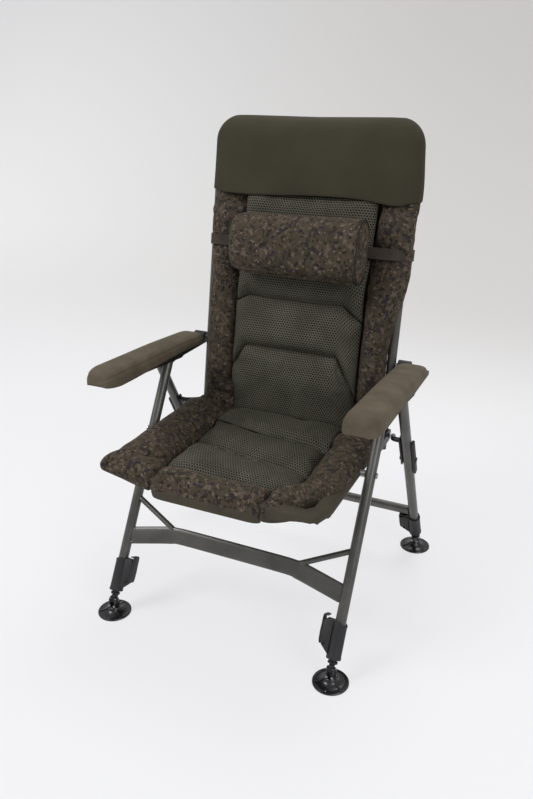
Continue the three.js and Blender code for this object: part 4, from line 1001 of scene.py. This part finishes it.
def closeUnder(shape, made, drop, pointAt=None):
    # The underside: a second sheet a little inside the first one, joined to it all round
    rows, columns = len(made), len(made[0])
    under = [list(line) for line in made]
    for j in range(1, rows - 1):
        for i in range(1, columns - 1):
            if pointAt:
                under[j][i] = shape.verts.new(pointAt(i, j / (rows - 1)))
            else:
                level = made[j][0].co.lerp(made[j][-1].co, i / (columns - 1))
                under[j][i] = shape.verts.new(level + Vector(drop))
    for j in range(rows - 1):
        for i in range(columns - 1):
            corners = [under[j][i], under[j + 1][i], under[j + 1][i + 1], under[j][i + 1]]
            if len(set(corners)) == 4:
                shape.faces.new(corners)


def borderRoll(sign):
    rows = []
    across, along = 34, 96
    for j in range(along + 1):
        t = j / along
        a, b = cornerPath(sign, t)
        rear = min(1.0, (0.66 if sign < 0 else 0.8) + 0.34 * smooth(t, 0, 0.2))
        toNotch = (1 - t) * 190
        end = 0.12 + 0.88 * puff(toNotch, seatLook["notchReach"])
        row = []
        drop = 42 * max(0.0, (t - 0.7) / 0.3) if sign < 0 else 20 * smooth(t, 0.5, 0.8)
        for i in range(across + 1):
            share, height = rollSection(i / across, sign > 0)
            height -= drop * (1 - smooth(height, -8, 26))
            crease = 2.2 * math.sin(i * 0.9 + 14 * t) * math.sin(t * 130) * (1 - smooth(t, 0.03, 0.17))
            height += crease if 3 < i < across - 3 and sign < 0 else 0
            flat = a.lerp(b, share)
            pucker = 1.6 * math.sin(i * 1.9 + sign) * math.exp(-toNotch / 26) if 2 < i < across - 2 else 0
            z = -8 + (height + 8) * rear * end + pucker
            if i > across / 2:
                z = max(z, -8 + 19 * smooth(flat.y, -10, 18) - 9 * smooth(flat.y, 44, 108))
            wedge = (sizes["hingeY"] + 4 - flat.y) * 0.9 + 14
            row.append((flat.x, flat.y, min(z, wedge) if flat.y > 40 else z))
        rows.append(row)
    plainTo = 9 if sign > 0 else 1
    shape, made = gridShape(rows, seatPlace, layOf(rows), zoneOf=lambda i, j: 1 if i < plainTo else 0)
    closeUnder(shape, made, (0, 0, 0.002))
    return clothPiece("seatBorder_" + ("left" if sign < 0 else "right"), shape, camoCloth, slingCloth)


def frontRoll():
    rows = []
    across, along = 64, 26
    half = seatLook["notch"]
    section = [(-329, -27), (-334, -25), (-337, -12), (-338, -2), (-337, 8), (-331, 20), (-318, 30),
               (-300, 34), (-282, 31), (-264, 20), (-250, 5), (-244, -8)]
    for j in range(along + 1):
        y, z = onLine(section, j / along)
        row = []
        for i in range(across + 1):
            x = -half + 2 * half * i / across
            edge = half - abs(x)
            end = 0.15 + 0.85 * puff(edge, seatLook["notchReach"])
            top = smooth(z, -6, 8)
            pucker = 1.5 * math.sin(j * 2.1) * math.exp(-edge / 24) * top
            tuck = (1 - end) * 12 * (1 - top) if y < -320 else 0
            row.append((x, y + tuck, z * (1 - top) + (-8 + (z + 8) * end) * top + pucker))
        rows.append(row)
    shape, made = gridShape(rows, seatPlace, layOf(rows), zoneOf=lambda i, j: 1 if j < 7 else 0)

    def inside(i, t):
        a, b = made[0][i].co, made[-1][i].co
        point = Vector((a.x, a.y * (1 - t) + b.y * t, b.z + (a.z - b.z) * max(0.0, 1 - t * 3)))
        point.y += 0.012 * math.sin(math.pi * t) if t < 0.4 else 0.0
        return point

    closeUnder(shape, made, None, inside)
    return clothPiece("seatFrontRoll", shape, camoCloth, slingCloth)


def seamY(k, x):
    # The seams across the seat, a little slanted, and its two ends
    return (seatLook["meshFront"] + 2, -115 - 0.19 * x, 2 - 0.103 * x, seatLook["rear"] + 2)[k]


def meshPanel(k):
    rows = []
    across, along = 60, 26
    for j in range(along + 1):
        v = j / along
        row = []
        for i in range(across + 1):
            x = (-1 + 2 * i / across) * (seatLook["inner"] + 1)
            low, high = seamY(k, x), seamY(k + 1, x)
            if k == 0:
                turn = seatLook["innerRound"]
                beyond = max(0.0, abs(x) - (seatLook["inner"] - turn)) / turn
                low += turn * (1 - math.sqrt(max(0.0, 1 - beyond * beyond))) * 0.9
            y = low + (high - low) * v
            edge = seatLook["inner"] + 1 - abs(x)
            lift = puff(edge, 62) * puff(y - low, 46) * puff(high - y, 46)
            base = -10 + 19 * smooth(y, -8, 20) - 8 * smooth(y, 44, 108)
            top = (11, 12, 17)[k]
            row.append((x, y, base + max(top - base, 0) * lift))
        rows.append(row)
    shape, made = gridShape(rows, seatPlace, layOf(rows))
    closeUnder(shape, made, (0, 0, -0.003))
    return clothPiece(f"seatMesh_{k + 1}", shape, meshCloth)


def flatten(piece):
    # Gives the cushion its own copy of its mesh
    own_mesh(piece)


# Pressure, slack of the cloth and fill of the cushions
fillLook = {
    ("seat", "camo_cloth"): (3.0, 0.035, 0.7),
    ("back", "camo_cloth"): (3.0, 0.03, 0.7),
    ("seat", "mesh_cloth"): (2.0, 0.02, 0.5),
    ("back", "mesh_cloth"): (2.0, 0.02, 0.5),
}


def cushion(piece, body, slot, nodes, cap, squashed=True):
    def held(vert):
        away = -vert.normal.z if body == "seat" else vert.normal.y
        return 1.0 if away > 0.2 else 0.0

    pressure, slack, fill = fillLook[body, slot]
    stuffed(piece, held, pressure, slack, cap)
    keepPiece(piece, body, slot, *nodes)
    if squashed:
        flatten(piece)


cushion(borderRoll(-1), "seat", "camo_cloth", ["seat_pad"], 6)
cushion(borderRoll(1), "seat", "camo_cloth", [], 6)
cushion(frontRoll(), "seat", "camo_cloth", [], 5)
for k in range(3):
    cushion(meshPanel(k), "seat", "mesh_cloth", [], 4)
print("seat cushion ready")

# Back cushion: two border rolls and four mesh panels

# The upper two panels have a lower crest, clear of the pillow and its strap, which slide over them
backLook = {"low": -12, "hem": 560, "crest": (54, 54, 49, 49)}


def backOuter(sign, s):
    # The right border covers its tube above the arm, the left one leaves its tube bare
    return 231 + 6 * smooth(s, 400, 540) if sign < 0 else 233 + 30 * smooth(s, 190, 400)


def backInner(sign, s):
    # The mesh sits a little to the right, and the left border widens to a flap over the crease
    if sign < 0:
        return 160 - 12 * smooth(s, 260, 520) - 26 * (1 - smooth(s, 4, 84))
    return 171 + 10 * smooth(s, 300, 520)


def backPoint(x, depth, up):
    return (x, -depth, up)


def backRoll(sign):
    rows = []
    across, along = 28, 104
    points = [(0.10, 2), (0.0, 4), (-0.07, 14), (-0.09, 26), (-0.04, 38), (0.08, 47), (0.26, 52),
              (0.46, 52), (0.66, 47), (0.83, 39), (0.94, 31), (1.0, 24)]
    for j in range(along + 1):
        t = j / along
        s = backLook["low"] + (backLook["hem"] - backLook["low"]) * t
        row = []
        low = 0.52 + 0.48 * smooth(s, 10, 130)
        strap = 1 - (0.26 if sign > 0 else 0.14) * math.exp(-((s - 428) / 15) ** 2)
        top = 1 - 0.5 * smooth(s, 492, 548)
        outer, inner = backOuter(sign, s), backInner(sign, s)
        for i in range(across + 1):
            share, depth = onLine(points, i / across)
            x = outer + (inner - outer) * share
            depth = depth * low * strap * top
            ripple = 1.4 * math.sin(s / 13 + 1.5 * math.sin(s / 37)) * math.exp(-((s - 390) / 46) ** 2)
            nearCrease = math.exp(-((s - 30) / 46) ** 2) * (1.0 if sign < 0 else 0.4)
            ripple += 3.6 * math.sin(s / 7 + i * 0.3) * nearCrease
            row.append(backPoint(sign * x, depth + (ripple if 2 < i < across - 2 else 0), s))
        rows.append(row)
    shape, made = gridShape(rows, backPlace, layOf(rows))
    closeUnder(shape, made, (0, 0.002, 0))
    return clothPiece("backBorder_" + ("left" if sign < 0 else "right"), shape, camoCloth)


def backSeam(k, x):
    side = abs(x)
    if k == 0:
        return backLook["low"]
    if k == 1:
        if side < 122:
            return 180.0
        return 180 - (side - 122) * 1.7 if side < 160 else 115.4 - (side - 160) * 3.0
    if k == 2:
        return 304.0 if side < 122 else 304 - (side - 122) * (0.75 if x > 0 else 0.5)
    if k == 3:
        return 416.0
    return backLook["hem"]


def backPanel(k):
    rows = []
    across, along = 64, 34
    for j in range(along + 1):
        v = j / along
        row = []
        for i in range(across + 1):
            u = i / across
            x = -160 + 335 * u
            low, high = backSeam(k, x), backSeam(k + 1, x)
            s = low + (high - low) * v
            left, right = -backInner(-1, max(s, 64)) - 2, backInner(1, s) + 2
            x = left + (right - left) * u
            edge = min(x - left, right - x)
            base = 24 + 6 * smooth(s, 20, 120)
            lift = puff(edge, 50) * puff(s - low, 34) * puff(high - s, 34)
            depth = (base + (backLook["crest"][k] - base) * lift) * (0.66 + 0.34 * smooth(s, 0, 120))
            row.append(backPoint(x, depth, s))
        rows.append(row)
    shape, made = gridShape(rows, backPlace, layOf(rows))
    closeUnder(shape, made, (0, 0.004, 0))
    return clothPiece(f"backMesh_{k + 1}", shape, meshCloth)


cushion(backRoll(-1), "back", "camo_cloth", [], 5)
cushion(backRoll(1), "back", "camo_cloth", [], 5)
for k in range(4):
    cushion(backPanel(k), "back", "mesh_cloth", ["back_pad"] if k == 0 else [], 4, squashed=k < 2)
print("back cushion ready")

# Hood over the top of the back

hoodLook = {
    "half": 259, "middle": 5, "low": 544, "high": 729, "corner": 60, "front": 54, "rear": 26, "wall": 2.2}


def hoodRing(s, grow):
    corner = hoodLook["corner"]
    up = min(max((s - hoodLook["high"] + corner) / corner, 0), 1)
    half = hoodLook["half"] - corner * (1 - math.sqrt(max(0, 1 - (up * 0.985) ** 2))) - grow
    thick = math.sqrt(max(0.0, 1 - (up * 0.97) ** 2))
    flare = 1 + 0.06 * smooth(s, 600, 545)
    ring = []
    count = 96
    for i in range(count):
        a = 2 * math.pi * i / count
        c, n = math.cos(a), math.sin(a)
        x = half * math.copysign(abs(c) ** 0.62, c)
        depth = hoodLook["front"] * flare if n > 0 else hoodLook["rear"]
        d = (depth - grow) * thick * math.copysign(abs(n) ** 0.72, n)
        near = math.exp(-max(0.0, s - 545) / 40)
        sag = (2.5 * math.sin(x / 61 + 0.6) + 6 * smooth(abs(x), 215, 250)) * near if n > 0 else 8 * near
        sag -= 7 * math.exp(-((x - 205) / 40) ** 2) * near
        dip = 5 * (1 - min(1.0, (x / 180) ** 2)) * up
        right = 9 * smooth(x, 120, 250) * smooth(-s, -700, -560)
        ring.append(backPoint(x + hoodLook["middle"] + right, d + 0.2 * sag, s + sag - dip))
    return ring


def buildHood():
    low, tall = hoodLook["low"], hoodLook["high"] - hoodLook["low"]
    outside = [hoodRing(low + tall * math.sin(math.pi / 2 * j / 26), 0) for j in range(27)]
    inside = [hoodRing(low + 2 + 60 * (1 - j / 5), hoodLook["wall"]) for j in range(6)]
    # The inner rings near the hem take the near-black cloth: painted shade inside the hood's opening
    shape, made = gridShape(outside[::-1] + inside[::-1], backPlace, closed=True,
                            zoneOf=lambda i, j: 1 if j > 27 else 0)
    closeEnds(shape, made)
    layFlat(shape, 2)
    piece = soften(clothPiece("hood", shape, hoodCloth, paintedShadeCloth))
    keepPiece(piece, "back", "hood_cloth", "back_hood")


buildHood()

# Neck pillow with piped ends, on its strap

pillow = {
    "middle": 18, "up": 431, "half": 156, "tall": 78, "thick": 92, "rear": 53.5,
    "band": 13, "bandThick": 1.5}


def pillowRing(u, count=56):
    # Section of the roll at u from -1 to 1 along it
    slump = 1 - (0.10 if u > 0 else 0.22) * abs(u) ** 4
    ring = []
    for i in range(count):
        a = 2 * math.pi * i / count
        c, n = math.cos(a), math.sin(a)
        up = pillow["tall"] * slump * math.copysign(abs(n) ** 0.86, n)
        d = pillow["rear"] + pillow["thick"] / 2 * (1 + math.copysign(abs(c) ** 0.8, c) * slump)
        ring.append((d, pillow["up"] + up))
    return ring


def buildPillow():
    rows = []
    along = 64
    for j in range(along + 1):
        u = -1 + 2 * j / along
        x = pillow["middle"] + pillow["half"] * u
        wave = 1.2 * noise.noise(Vector((u * 4, 0, 3)))
        rows.append([backPoint(x, d + wave, s + wave) for d, s in pillowRing(u)])

    def cap(sign):
        end = pillow["middle"] + pillow["half"] * sign
        middle = (pillow["rear"] + pillow["thick"] / 2, pillow["up"])
        steps = []
        for k in range(1, 7):
            t = k / 7
            x = end + sign * (9 if sign > 0 else 15) * math.sin(math.pi / 2 * t)
            steps.append([backPoint(x, d * (1 - t) + middle[0] * t, s * (1 - t) + middle[1] * t)
                          for d, s in pillowRing(sign)])
        return steps, backPoint(end + sign * 9.5, *middle)

    right, rightTip = cap(1)
    left, leftTip = cap(-1)
    shape, made = gridShape(left[::-1] + rows + right, backPlace, closed=True)
    for ring, tip, flip in ((made[0], leftTip, False), (made[-1], rightTip, True)):
        point = shape.verts.new(backPlace @ Vector(tip))
        for i in range(len(ring)):
            n = (i + 1) % len(ring)
            shape.faces.new((ring[i], ring[n], point) if flip else (ring[n], ring[i], point))
    layFlat(shape, 2)
    return clothPiece("neckPillow", shape, camoCloth)


piece = buildPillow()
seamX = [(pillow["middle"] + s * pillow["half"]) * mm for s in (-1, 1)]
stuffed(piece, lambda v: 1.0 if min(abs(v.co.x - s) for s in seamX) < 0.003 else 0.0, 3.0, 0.03, 6)
keepPiece(piece, "pillow", "camo_cloth", "neck_pillow")


def buildPiping():
    # Two thin corded edges at the pillow's right end
    loops = []
    for shift, lift in ((0, 0.6), (-6, 1.2)):
        x = pillow["middle"] + pillow["half"] + shift
        loop = [backPoint(x, d + lift * (1 if d > 100 else -1), s) for d, s in pillowRing(1)]
        loops.append(loop + [loop[0]])
    piece = pathPiece("pillowPiping", backPlace, loops)
    runTree(piece, tubeTree, **{
        "Bend Radius": 0.0, "Tube Radius": 1.9 * mm, "Bend Steps": 1, "Sides": 10, "Finish": bindingTape})
    storeCloth(piece)
    keepPiece(piece, "pillow", "sling_cloth")


buildPiping()


def buildStrap():
    # Webbing loop round the back: over the border rolls, round the tubes and across behind the sling
    half = [(0, 53.2), (150, 53.2), (196, 53.6), (216, 53), (234, 47), (247, 34), (257.6, 12),
            (257.6, -11), (246, -24), (228, -30), (120, -30), (0, -30)]
    line = [(x + 8 * smooth(x, 200, 246), d) for x, d in half]
    line += [(-x + 5 * smooth(x, 200, 246), d) for x, d in reversed(half[1:-1])]
    rows = []
    for k in range(5):
        s = pillow["up"] - pillow["band"] + pillow["band"] * 2 * k / 4
        rows.append([backPoint(x, d, s) for x, d in line])
    run = [0.0]
    for a, b in zip(line, line[1:]):
        run.append(run[-1] + math.dist(a, b))
    lays = [[(run[i], k * 6.5, 0) for i in range(len(line))] for k in range(5)]
    shape, _ = gridShape(rows, backPlace, lays, closed=True)
    piece = meshPiece("pillowStrap", shape, [strapWebbing])
    thicken(piece, pillow["bandThick"])
    keepPiece(piece, "pillow", "strap_webbing", "pillow_strap")


buildStrap()
print("hood and pillow ready")

# Slings: coated cloth wrapped round the tubes

sling = {
    "length": 0.40, "seatSag": 44, "rear": 38, "low": 34, "high": 548,
    "bulge": 14, "thick": 1.6, "wrap": 11.9}


def hump(value, low, high):
    return max(0.0, math.sin(math.pi * min(max((value - low) / (high - low), 0.0), 1.0)))


def buildSeatSling():
    # From under one rail, round its outside, across the sag and round the other rail
    r = sling["wrap"] + 0.9
    across = [-228 + 456 * i / 32 for i in range(33)]
    rows = []
    ys = [-320 + (sling["rear"] + 320) * j / 36 for j in range(37)]
    for y in ys:
        # Round the outside of the rails, flatter near the front edge, where it is hemmed square
        reach = math.pi / 2 * (1 - smooth(-y, 258, 292)) + 0.02
        wrap = [(-fx - r * math.cos(a), r * math.sin(a)) for a in
                [-reach + (reach + math.pi / 2) * k / 8 for k in range(9)]]
        row = [(x, y, z) for x, z in wrap]
        for x in across:
            rim = min(1.0, (229 - abs(x)) / 26, (y + 296) / 26)
            sag = 30 * smooth(rim, 0, 1) + 14 * hump(x, -233.7, 233.7) * hump(y, -292.7, 21.7)
            row.append((x, y, r - min(sag, sling["seatSag"])))
        row += [(-x, y, z) for x, z in reversed(wrap)]
        # The left front corner is rounded under the cushion, the right one is almost square
        row = [(x * (1 - (0.24 if x < 0 else 0.05) * smooth(-y, 268, 330)), y, z) for x, y, z in row]
        rows.append(row)
    # The front edge is turned down, less towards its ends, where the cloth already goes down round the rails
    def turned(i):
        fromEnd = min(i, len(rows[0]) - 1 - i)
        return 0.5 * fromEnd / 8 if fromEnd < 8 else 0.5 + 0.5 * smooth(fromEnd, 8, 15)
    fronts = [[(x, y - ahead * turned(i), z - down * turned(i)) for i, (x, y, z) in enumerate(rows[0])]
              for ahead, down in ((1.5, 0.6), (3, 3), (4.5, 9), (5, 17), (5, 25))]
    rows = list(reversed(fronts)) + rows
    shape, _ = gridShape(rows, seatPlace, layOf(rows))
    piece = meshPiece("seatSling", shape, [slingCloth])
    width = thicken(piece, sling["thick"]) / sling["length"]
    keepPiece(piece, "seat", "sling_cloth", "seat_sling")


def buildBackSling():
    rows = []
    for j in range(41):
        s = sling["low"] + (sling["high"] - sling["low"]) * j / 40
        row = []
        for i in range(37):
            x = -233 + 466 * i / 36
            row.append(backPoint(x, -sling["bulge"] * hump(x, -233.7, 233.7), s))
        rows.append(row)
    shape, _ = gridShape(rows, backPlace, layOf(rows))
    piece = meshPiece("backSling", shape, [slingCloth])
    area = thicken(piece, sling["thick"])
    keepPiece(piece, "back", "sling_cloth", "back_sling")


def buildCreaseShadeSheet():
    # Dark cloth under the rear bar joins the two cushions behind the crease
    path = [(-4, -16), (16, -13), (30, -11), (44, -12), (70, -14), (100, -13), (116, -10), (124, -6),
            (129, 1), (132, 14), (134, 28), (137, 46)]
    width = 464
    rows = [[(-width / 2 + width * i / 24, y, z) for i in range(25)] for y, z in path]
    shape, _ = gridShape(rows, seatPlace, layOf(rows))
    # Near-black: painted shade behind the crease and under the seat's rear
    piece = meshPiece("creaseShadeSheet", shape, [paintedShadeCloth])
    area = thicken(piece, 1.2)
    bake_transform(piece)


buildSeatSling()
buildBackSling()
buildCreaseShadeSheet()
print("slings ready")

# Arm pads: padded covers drawn over the moulded bases

armLook = {
    "inner": 258.3, "outer": 338, "nose": -426, "rear": -3, "crown": 25, "sideRear": 3, "sideFront": 16,
    "baseInner": 261.6, "baseOuter": 333.8, "baseFront": -390}
toPin = Vector((0, sizes["apexY"], sizes["apexZ"])) - armPivot
armRoof = toPin.z * math.cos(armTilt) + toPin.y * math.sin(armTilt) + 17


def armSection(y, count=34):
    # Outer outline of the cover at y, from the lower outer edge over the top to the lower inner edge
    fromNose = y - armLook["nose"]
    fromRear = armLook["rear"] - y
    nose = puff(fromNose + 0.5, 46)
    tail = puff(fromRear + 8, 40)
    middle = (armLook["inner"] + armLook["outer"]) / 2
    half = (armLook["outer"] - armLook["inner"]) / 2 * (0.42 + 0.58 * nose) * (0.8 + 0.2 * tail)
    drop = armLook["sideRear"] + (armLook["sideFront"] - armLook["sideRear"]) * smooth(-y, 90, 400)
    low = armRoof - drop + 3 * (1 - nose)
    swell = 0.84 + 0.16 * smooth(-y, 0, 200)
    high = armRoof + armLook["crown"] * swell * (0.30 + 0.70 * nose) * (0.72 + 0.28 * tail)
    points = []
    for i in range(count + 1):
        a = math.pi * i / count
        c, n = math.cos(a), math.sin(a)
        x = middle + half * math.copysign(abs(c) ** 0.55, c)
        z = low + (high - low) * abs(n) ** 0.62
        # The cover's side seam draws it in a little along the outer side
        seam = math.exp(-((z - (low + (high - low) * 0.66)) / 1.8) ** 2) if abs(c) > 0.45 else 0
        points.append((x - 1.8 * seam * math.copysign(1, c), z))
    return points, low


def buildArmPad(side, sign):
    rows = []
    stations = 78
    length = armLook["rear"] - armLook["nose"]
    near, far = armLook["baseInner"], armLook["baseOuter"]
    for j in range(stations + 1):
        t = j / stations
        y = armLook["nose"] + length * (0.5 - 0.5 * math.cos(math.pi * t)) * 0.35 + length * t * 0.65
        outline, low = armSection(y)
        inside = y > armLook["baseFront"]
        up = armRoof + 3.4 if inside else low + 1.5
        inner = [(near - 0.6, low), (near, up - 2), (near + 3, up),
                 (far - 3, up), (far, up - 2), (far + 0.6, low)]
        if not inside:
            a, b = outline[-1][0] + 1.5, outline[0][0] - 1.5
            inner = [(a + (b - a) * k / 5, up) for k in range(6)]
        rows.append([(sign * x, y, z) for x, z in outline + inner])
    shape, made = gridShape(rows, armPlace, closed=True)
    closeEnds(shape, made)
    layFlat(shape, 1)
    piece = soften(clothPiece(f"armPad_{side}", shape, armCloth))
    piece.data.set_sharp_from_angle(angle=math.radians(60))
    keepPiece(piece, f"arm_{side}", "arm_cloth", f"arm_pad_{side}")


for side, sign in sides.items():
    buildArmPad(side, sign)
print("arms ready")


# Stitches: a Geometry Nodes tree sets short thread capsules along a seam line

def makeStitchTree():
    tree, given = groupTree("seam stitches", [
        ("Pitch", "NodeSocketFloat", 0.0045), ("Length", "NodeSocketFloat", 0.003),
        ("Thread", "NodeSocketFloat", 0.0006), ("Finish", "NodeSocketMaterial", None)])
    path = addNode(tree, "GeometryNodeMeshToCurve", {"Mesh": given["Geometry"]})
    dots = addNode(tree, "GeometryNodeCurveToPoints", {
        "Curve": path.outputs["Curve"], "Length": given["Pitch"]}, mode="LENGTH")
    thread = addNode(tree, "GeometryNodeMeshCylinder", {
        "Vertices": 6, "Radius": given["Thread"], "Depth": given["Length"]})
    turn = addNode(tree, "FunctionNodeAlignRotationToVector", {"Vector": dots.outputs["Tangent"]}, axis="Z")
    placed = addNode(tree, "GeometryNodeInstanceOnPoints", {
        "Points": dots.outputs["Points"], "Instance": thread.outputs["Mesh"],
        "Rotation": turn.outputs["Rotation"]})
    return endTree(tree, given, placed.outputs["Instances"])


seams = [[(x, seamY(k, x) + shift, -7.2) for x in range(-146, 147, 6)]
         for k in (1, 2) for shift in (-3.5, 3.5)]
piece = pathPiece("seatStitches", seatPlace, seams)
runTree(piece, makeStitchTree(), **{
    "Pitch": 0.0042, "Length": 0.0026, "Thread": 0.0006, "Finish": sewingThread})
keepPiece(piece, "seat", "mesh_cloth")
print("stitches ready")


# Camera, floor, lights

view = {"place": (0.6664, -1.47015, 1.1754), "yaw": 0.4306, "pitch": 0.3966, "roll": 0.0035, "lens": 33.22}


def buildCamera():
    forward = Vector((-math.sin(view["yaw"]) * math.cos(view["pitch"]),
                      math.cos(view["yaw"]) * math.cos(view["pitch"]), -math.sin(view["pitch"])))
    right = Vector((math.cos(view["yaw"]), math.sin(view["yaw"]), 0))
    up = right.cross(forward)
    c, s = math.cos(view["roll"]), math.sin(view["roll"])
    across, upward = right * c + up * s, up * c - right * s
    data = bpy.data.cameras.new("camera")
    data.lens = view["lens"]
    data.sensor_width = 36
    scene.camera = showObject("camera", data)
    scene.camera.matrix_world = Matrix.Translation(view["place"]) @ Matrix(
        (across, upward, -forward)).transposed().to_4x4()


def buildStage():
    # Pale floor that curves up into a wall behind the chair; it takes soft shadows
    bends = [math.pi / 2 * k / 16 for k in range(1, 17)]
    line = [(-12, 0), (2.2, 0)]
    line += [(2.2 + 2.5 * math.sin(a), 2.5 - 2.5 * math.cos(a)) for a in bends] + [(4.7, 14)]
    points = [(x, y, z) for y, z in line for x in (-14, 14)]
    faces = [(2 * k, 2 * k + 1, 2 * k + 3, 2 * k + 2) for k in range(len(line) - 1)]
    data = bpy.data.meshes.new("backdrop")
    data.from_pydata(points, [], faces)
    data.shade_smooth()
    backdrop = showObject("backdrop", data)
    material, tree, _ = newMaterial("pale paper backdrop")
    tree.nodes.clear()
    rays = addNode(tree, "ShaderNodeLightPath")
    place = addNode(tree, "ShaderNodeTexCoord").outputs["Object"]
    parts = addNode(tree, "ShaderNodeSeparateXYZ", {"Vector": place})
    # Painted light fall-off: paler on the left and near the floor, a little greyer high up on the right
    right = mapRange(tree, parts.outputs["X"], -4.6, 0.3, kind="SMOOTHSTEP")
    height = mapRange(tree, parts.outputs["Z"], 0.2, 1.9)
    depth = mapRange(tree, parts.outputs["Y"], 0.7, 3.0, kind="SMOOTHSTEP")
    low = mixColours(tree, right, srgb("fbfbfb"), srgb("d0cdca"))
    high = mixColours(tree, right, srgb("e6e6e7"), srgb("c6c3c0"))
    paintedLightFalloff = mixColours(tree, depth, srgb("efeff1"), mixColours(tree, height, low, high))
    matt = addNode(tree, "ShaderNodeBsdfDiffuse", {"Color": srgb("e9e9ea")})
    glow = addNode(tree, "ShaderNodeEmission", {"Color": paintedLightFalloff, "Strength": 1.0})
    seen = addNode(tree, "ShaderNodeMath", {
        0: rays.outputs["Is Camera Ray"], 1: rays.outputs["Is Glossy Ray"]}, operation="MAXIMUM")
    seen = addNode(tree, "ShaderNodeMath", {
        0: seen.outputs[0], 1: rays.outputs["Is Transmission Ray"]}, operation="MAXIMUM")
    share = addNode(tree, "ShaderNodeMath", {0: seen.outputs[0], 1: 0.72}, operation="MULTIPLY")
    mix = addNode(tree, "ShaderNodeMixShader", {0: share.outputs[0], 1: matt.outputs[0], 2: glow.outputs[0]})
    addNode(tree, "ShaderNodeOutputMaterial", {"Surface": mix.outputs[0]})
    data.materials.append(material)
    world = bpy.data.worlds.new("studio")
    scene.world = world
    world.use_nodes = True
    sky = world.node_tree
    sky.nodes.clear()
    light = addNode(sky, "ShaderNodeBackground", {"Color": srgb("f4f4f6"), "Strength": 0.6})
    addNode(sky, "ShaderNodeOutputWorld", {"Surface": light.outputs[0]})


def softLamp(name, place, target, size, power):
    data = bpy.data.lights.new(name, "AREA")
    data.shape = "DISK"
    data.size = size
    data.energy = power
    lamp = showObject(name, data)
    lamp.location = place
    lamp.rotation_euler = (Vector(place) - Vector(target)).to_track_quat("Z", "Y").to_euler()


buildCamera()
buildStage()
softLamp("key", (-2.2, -2.0, 3.0), (0, 0, 0.6), 1.6, 76)
softLamp("fill", (2.6, -1.6, 2.2), (0, 0, 0.5), 2.2, 42)
softLamp("top", (0.2, 1.4, 3.2), (0, 0, 0.7), 2.0, 45)

print("scene ready")
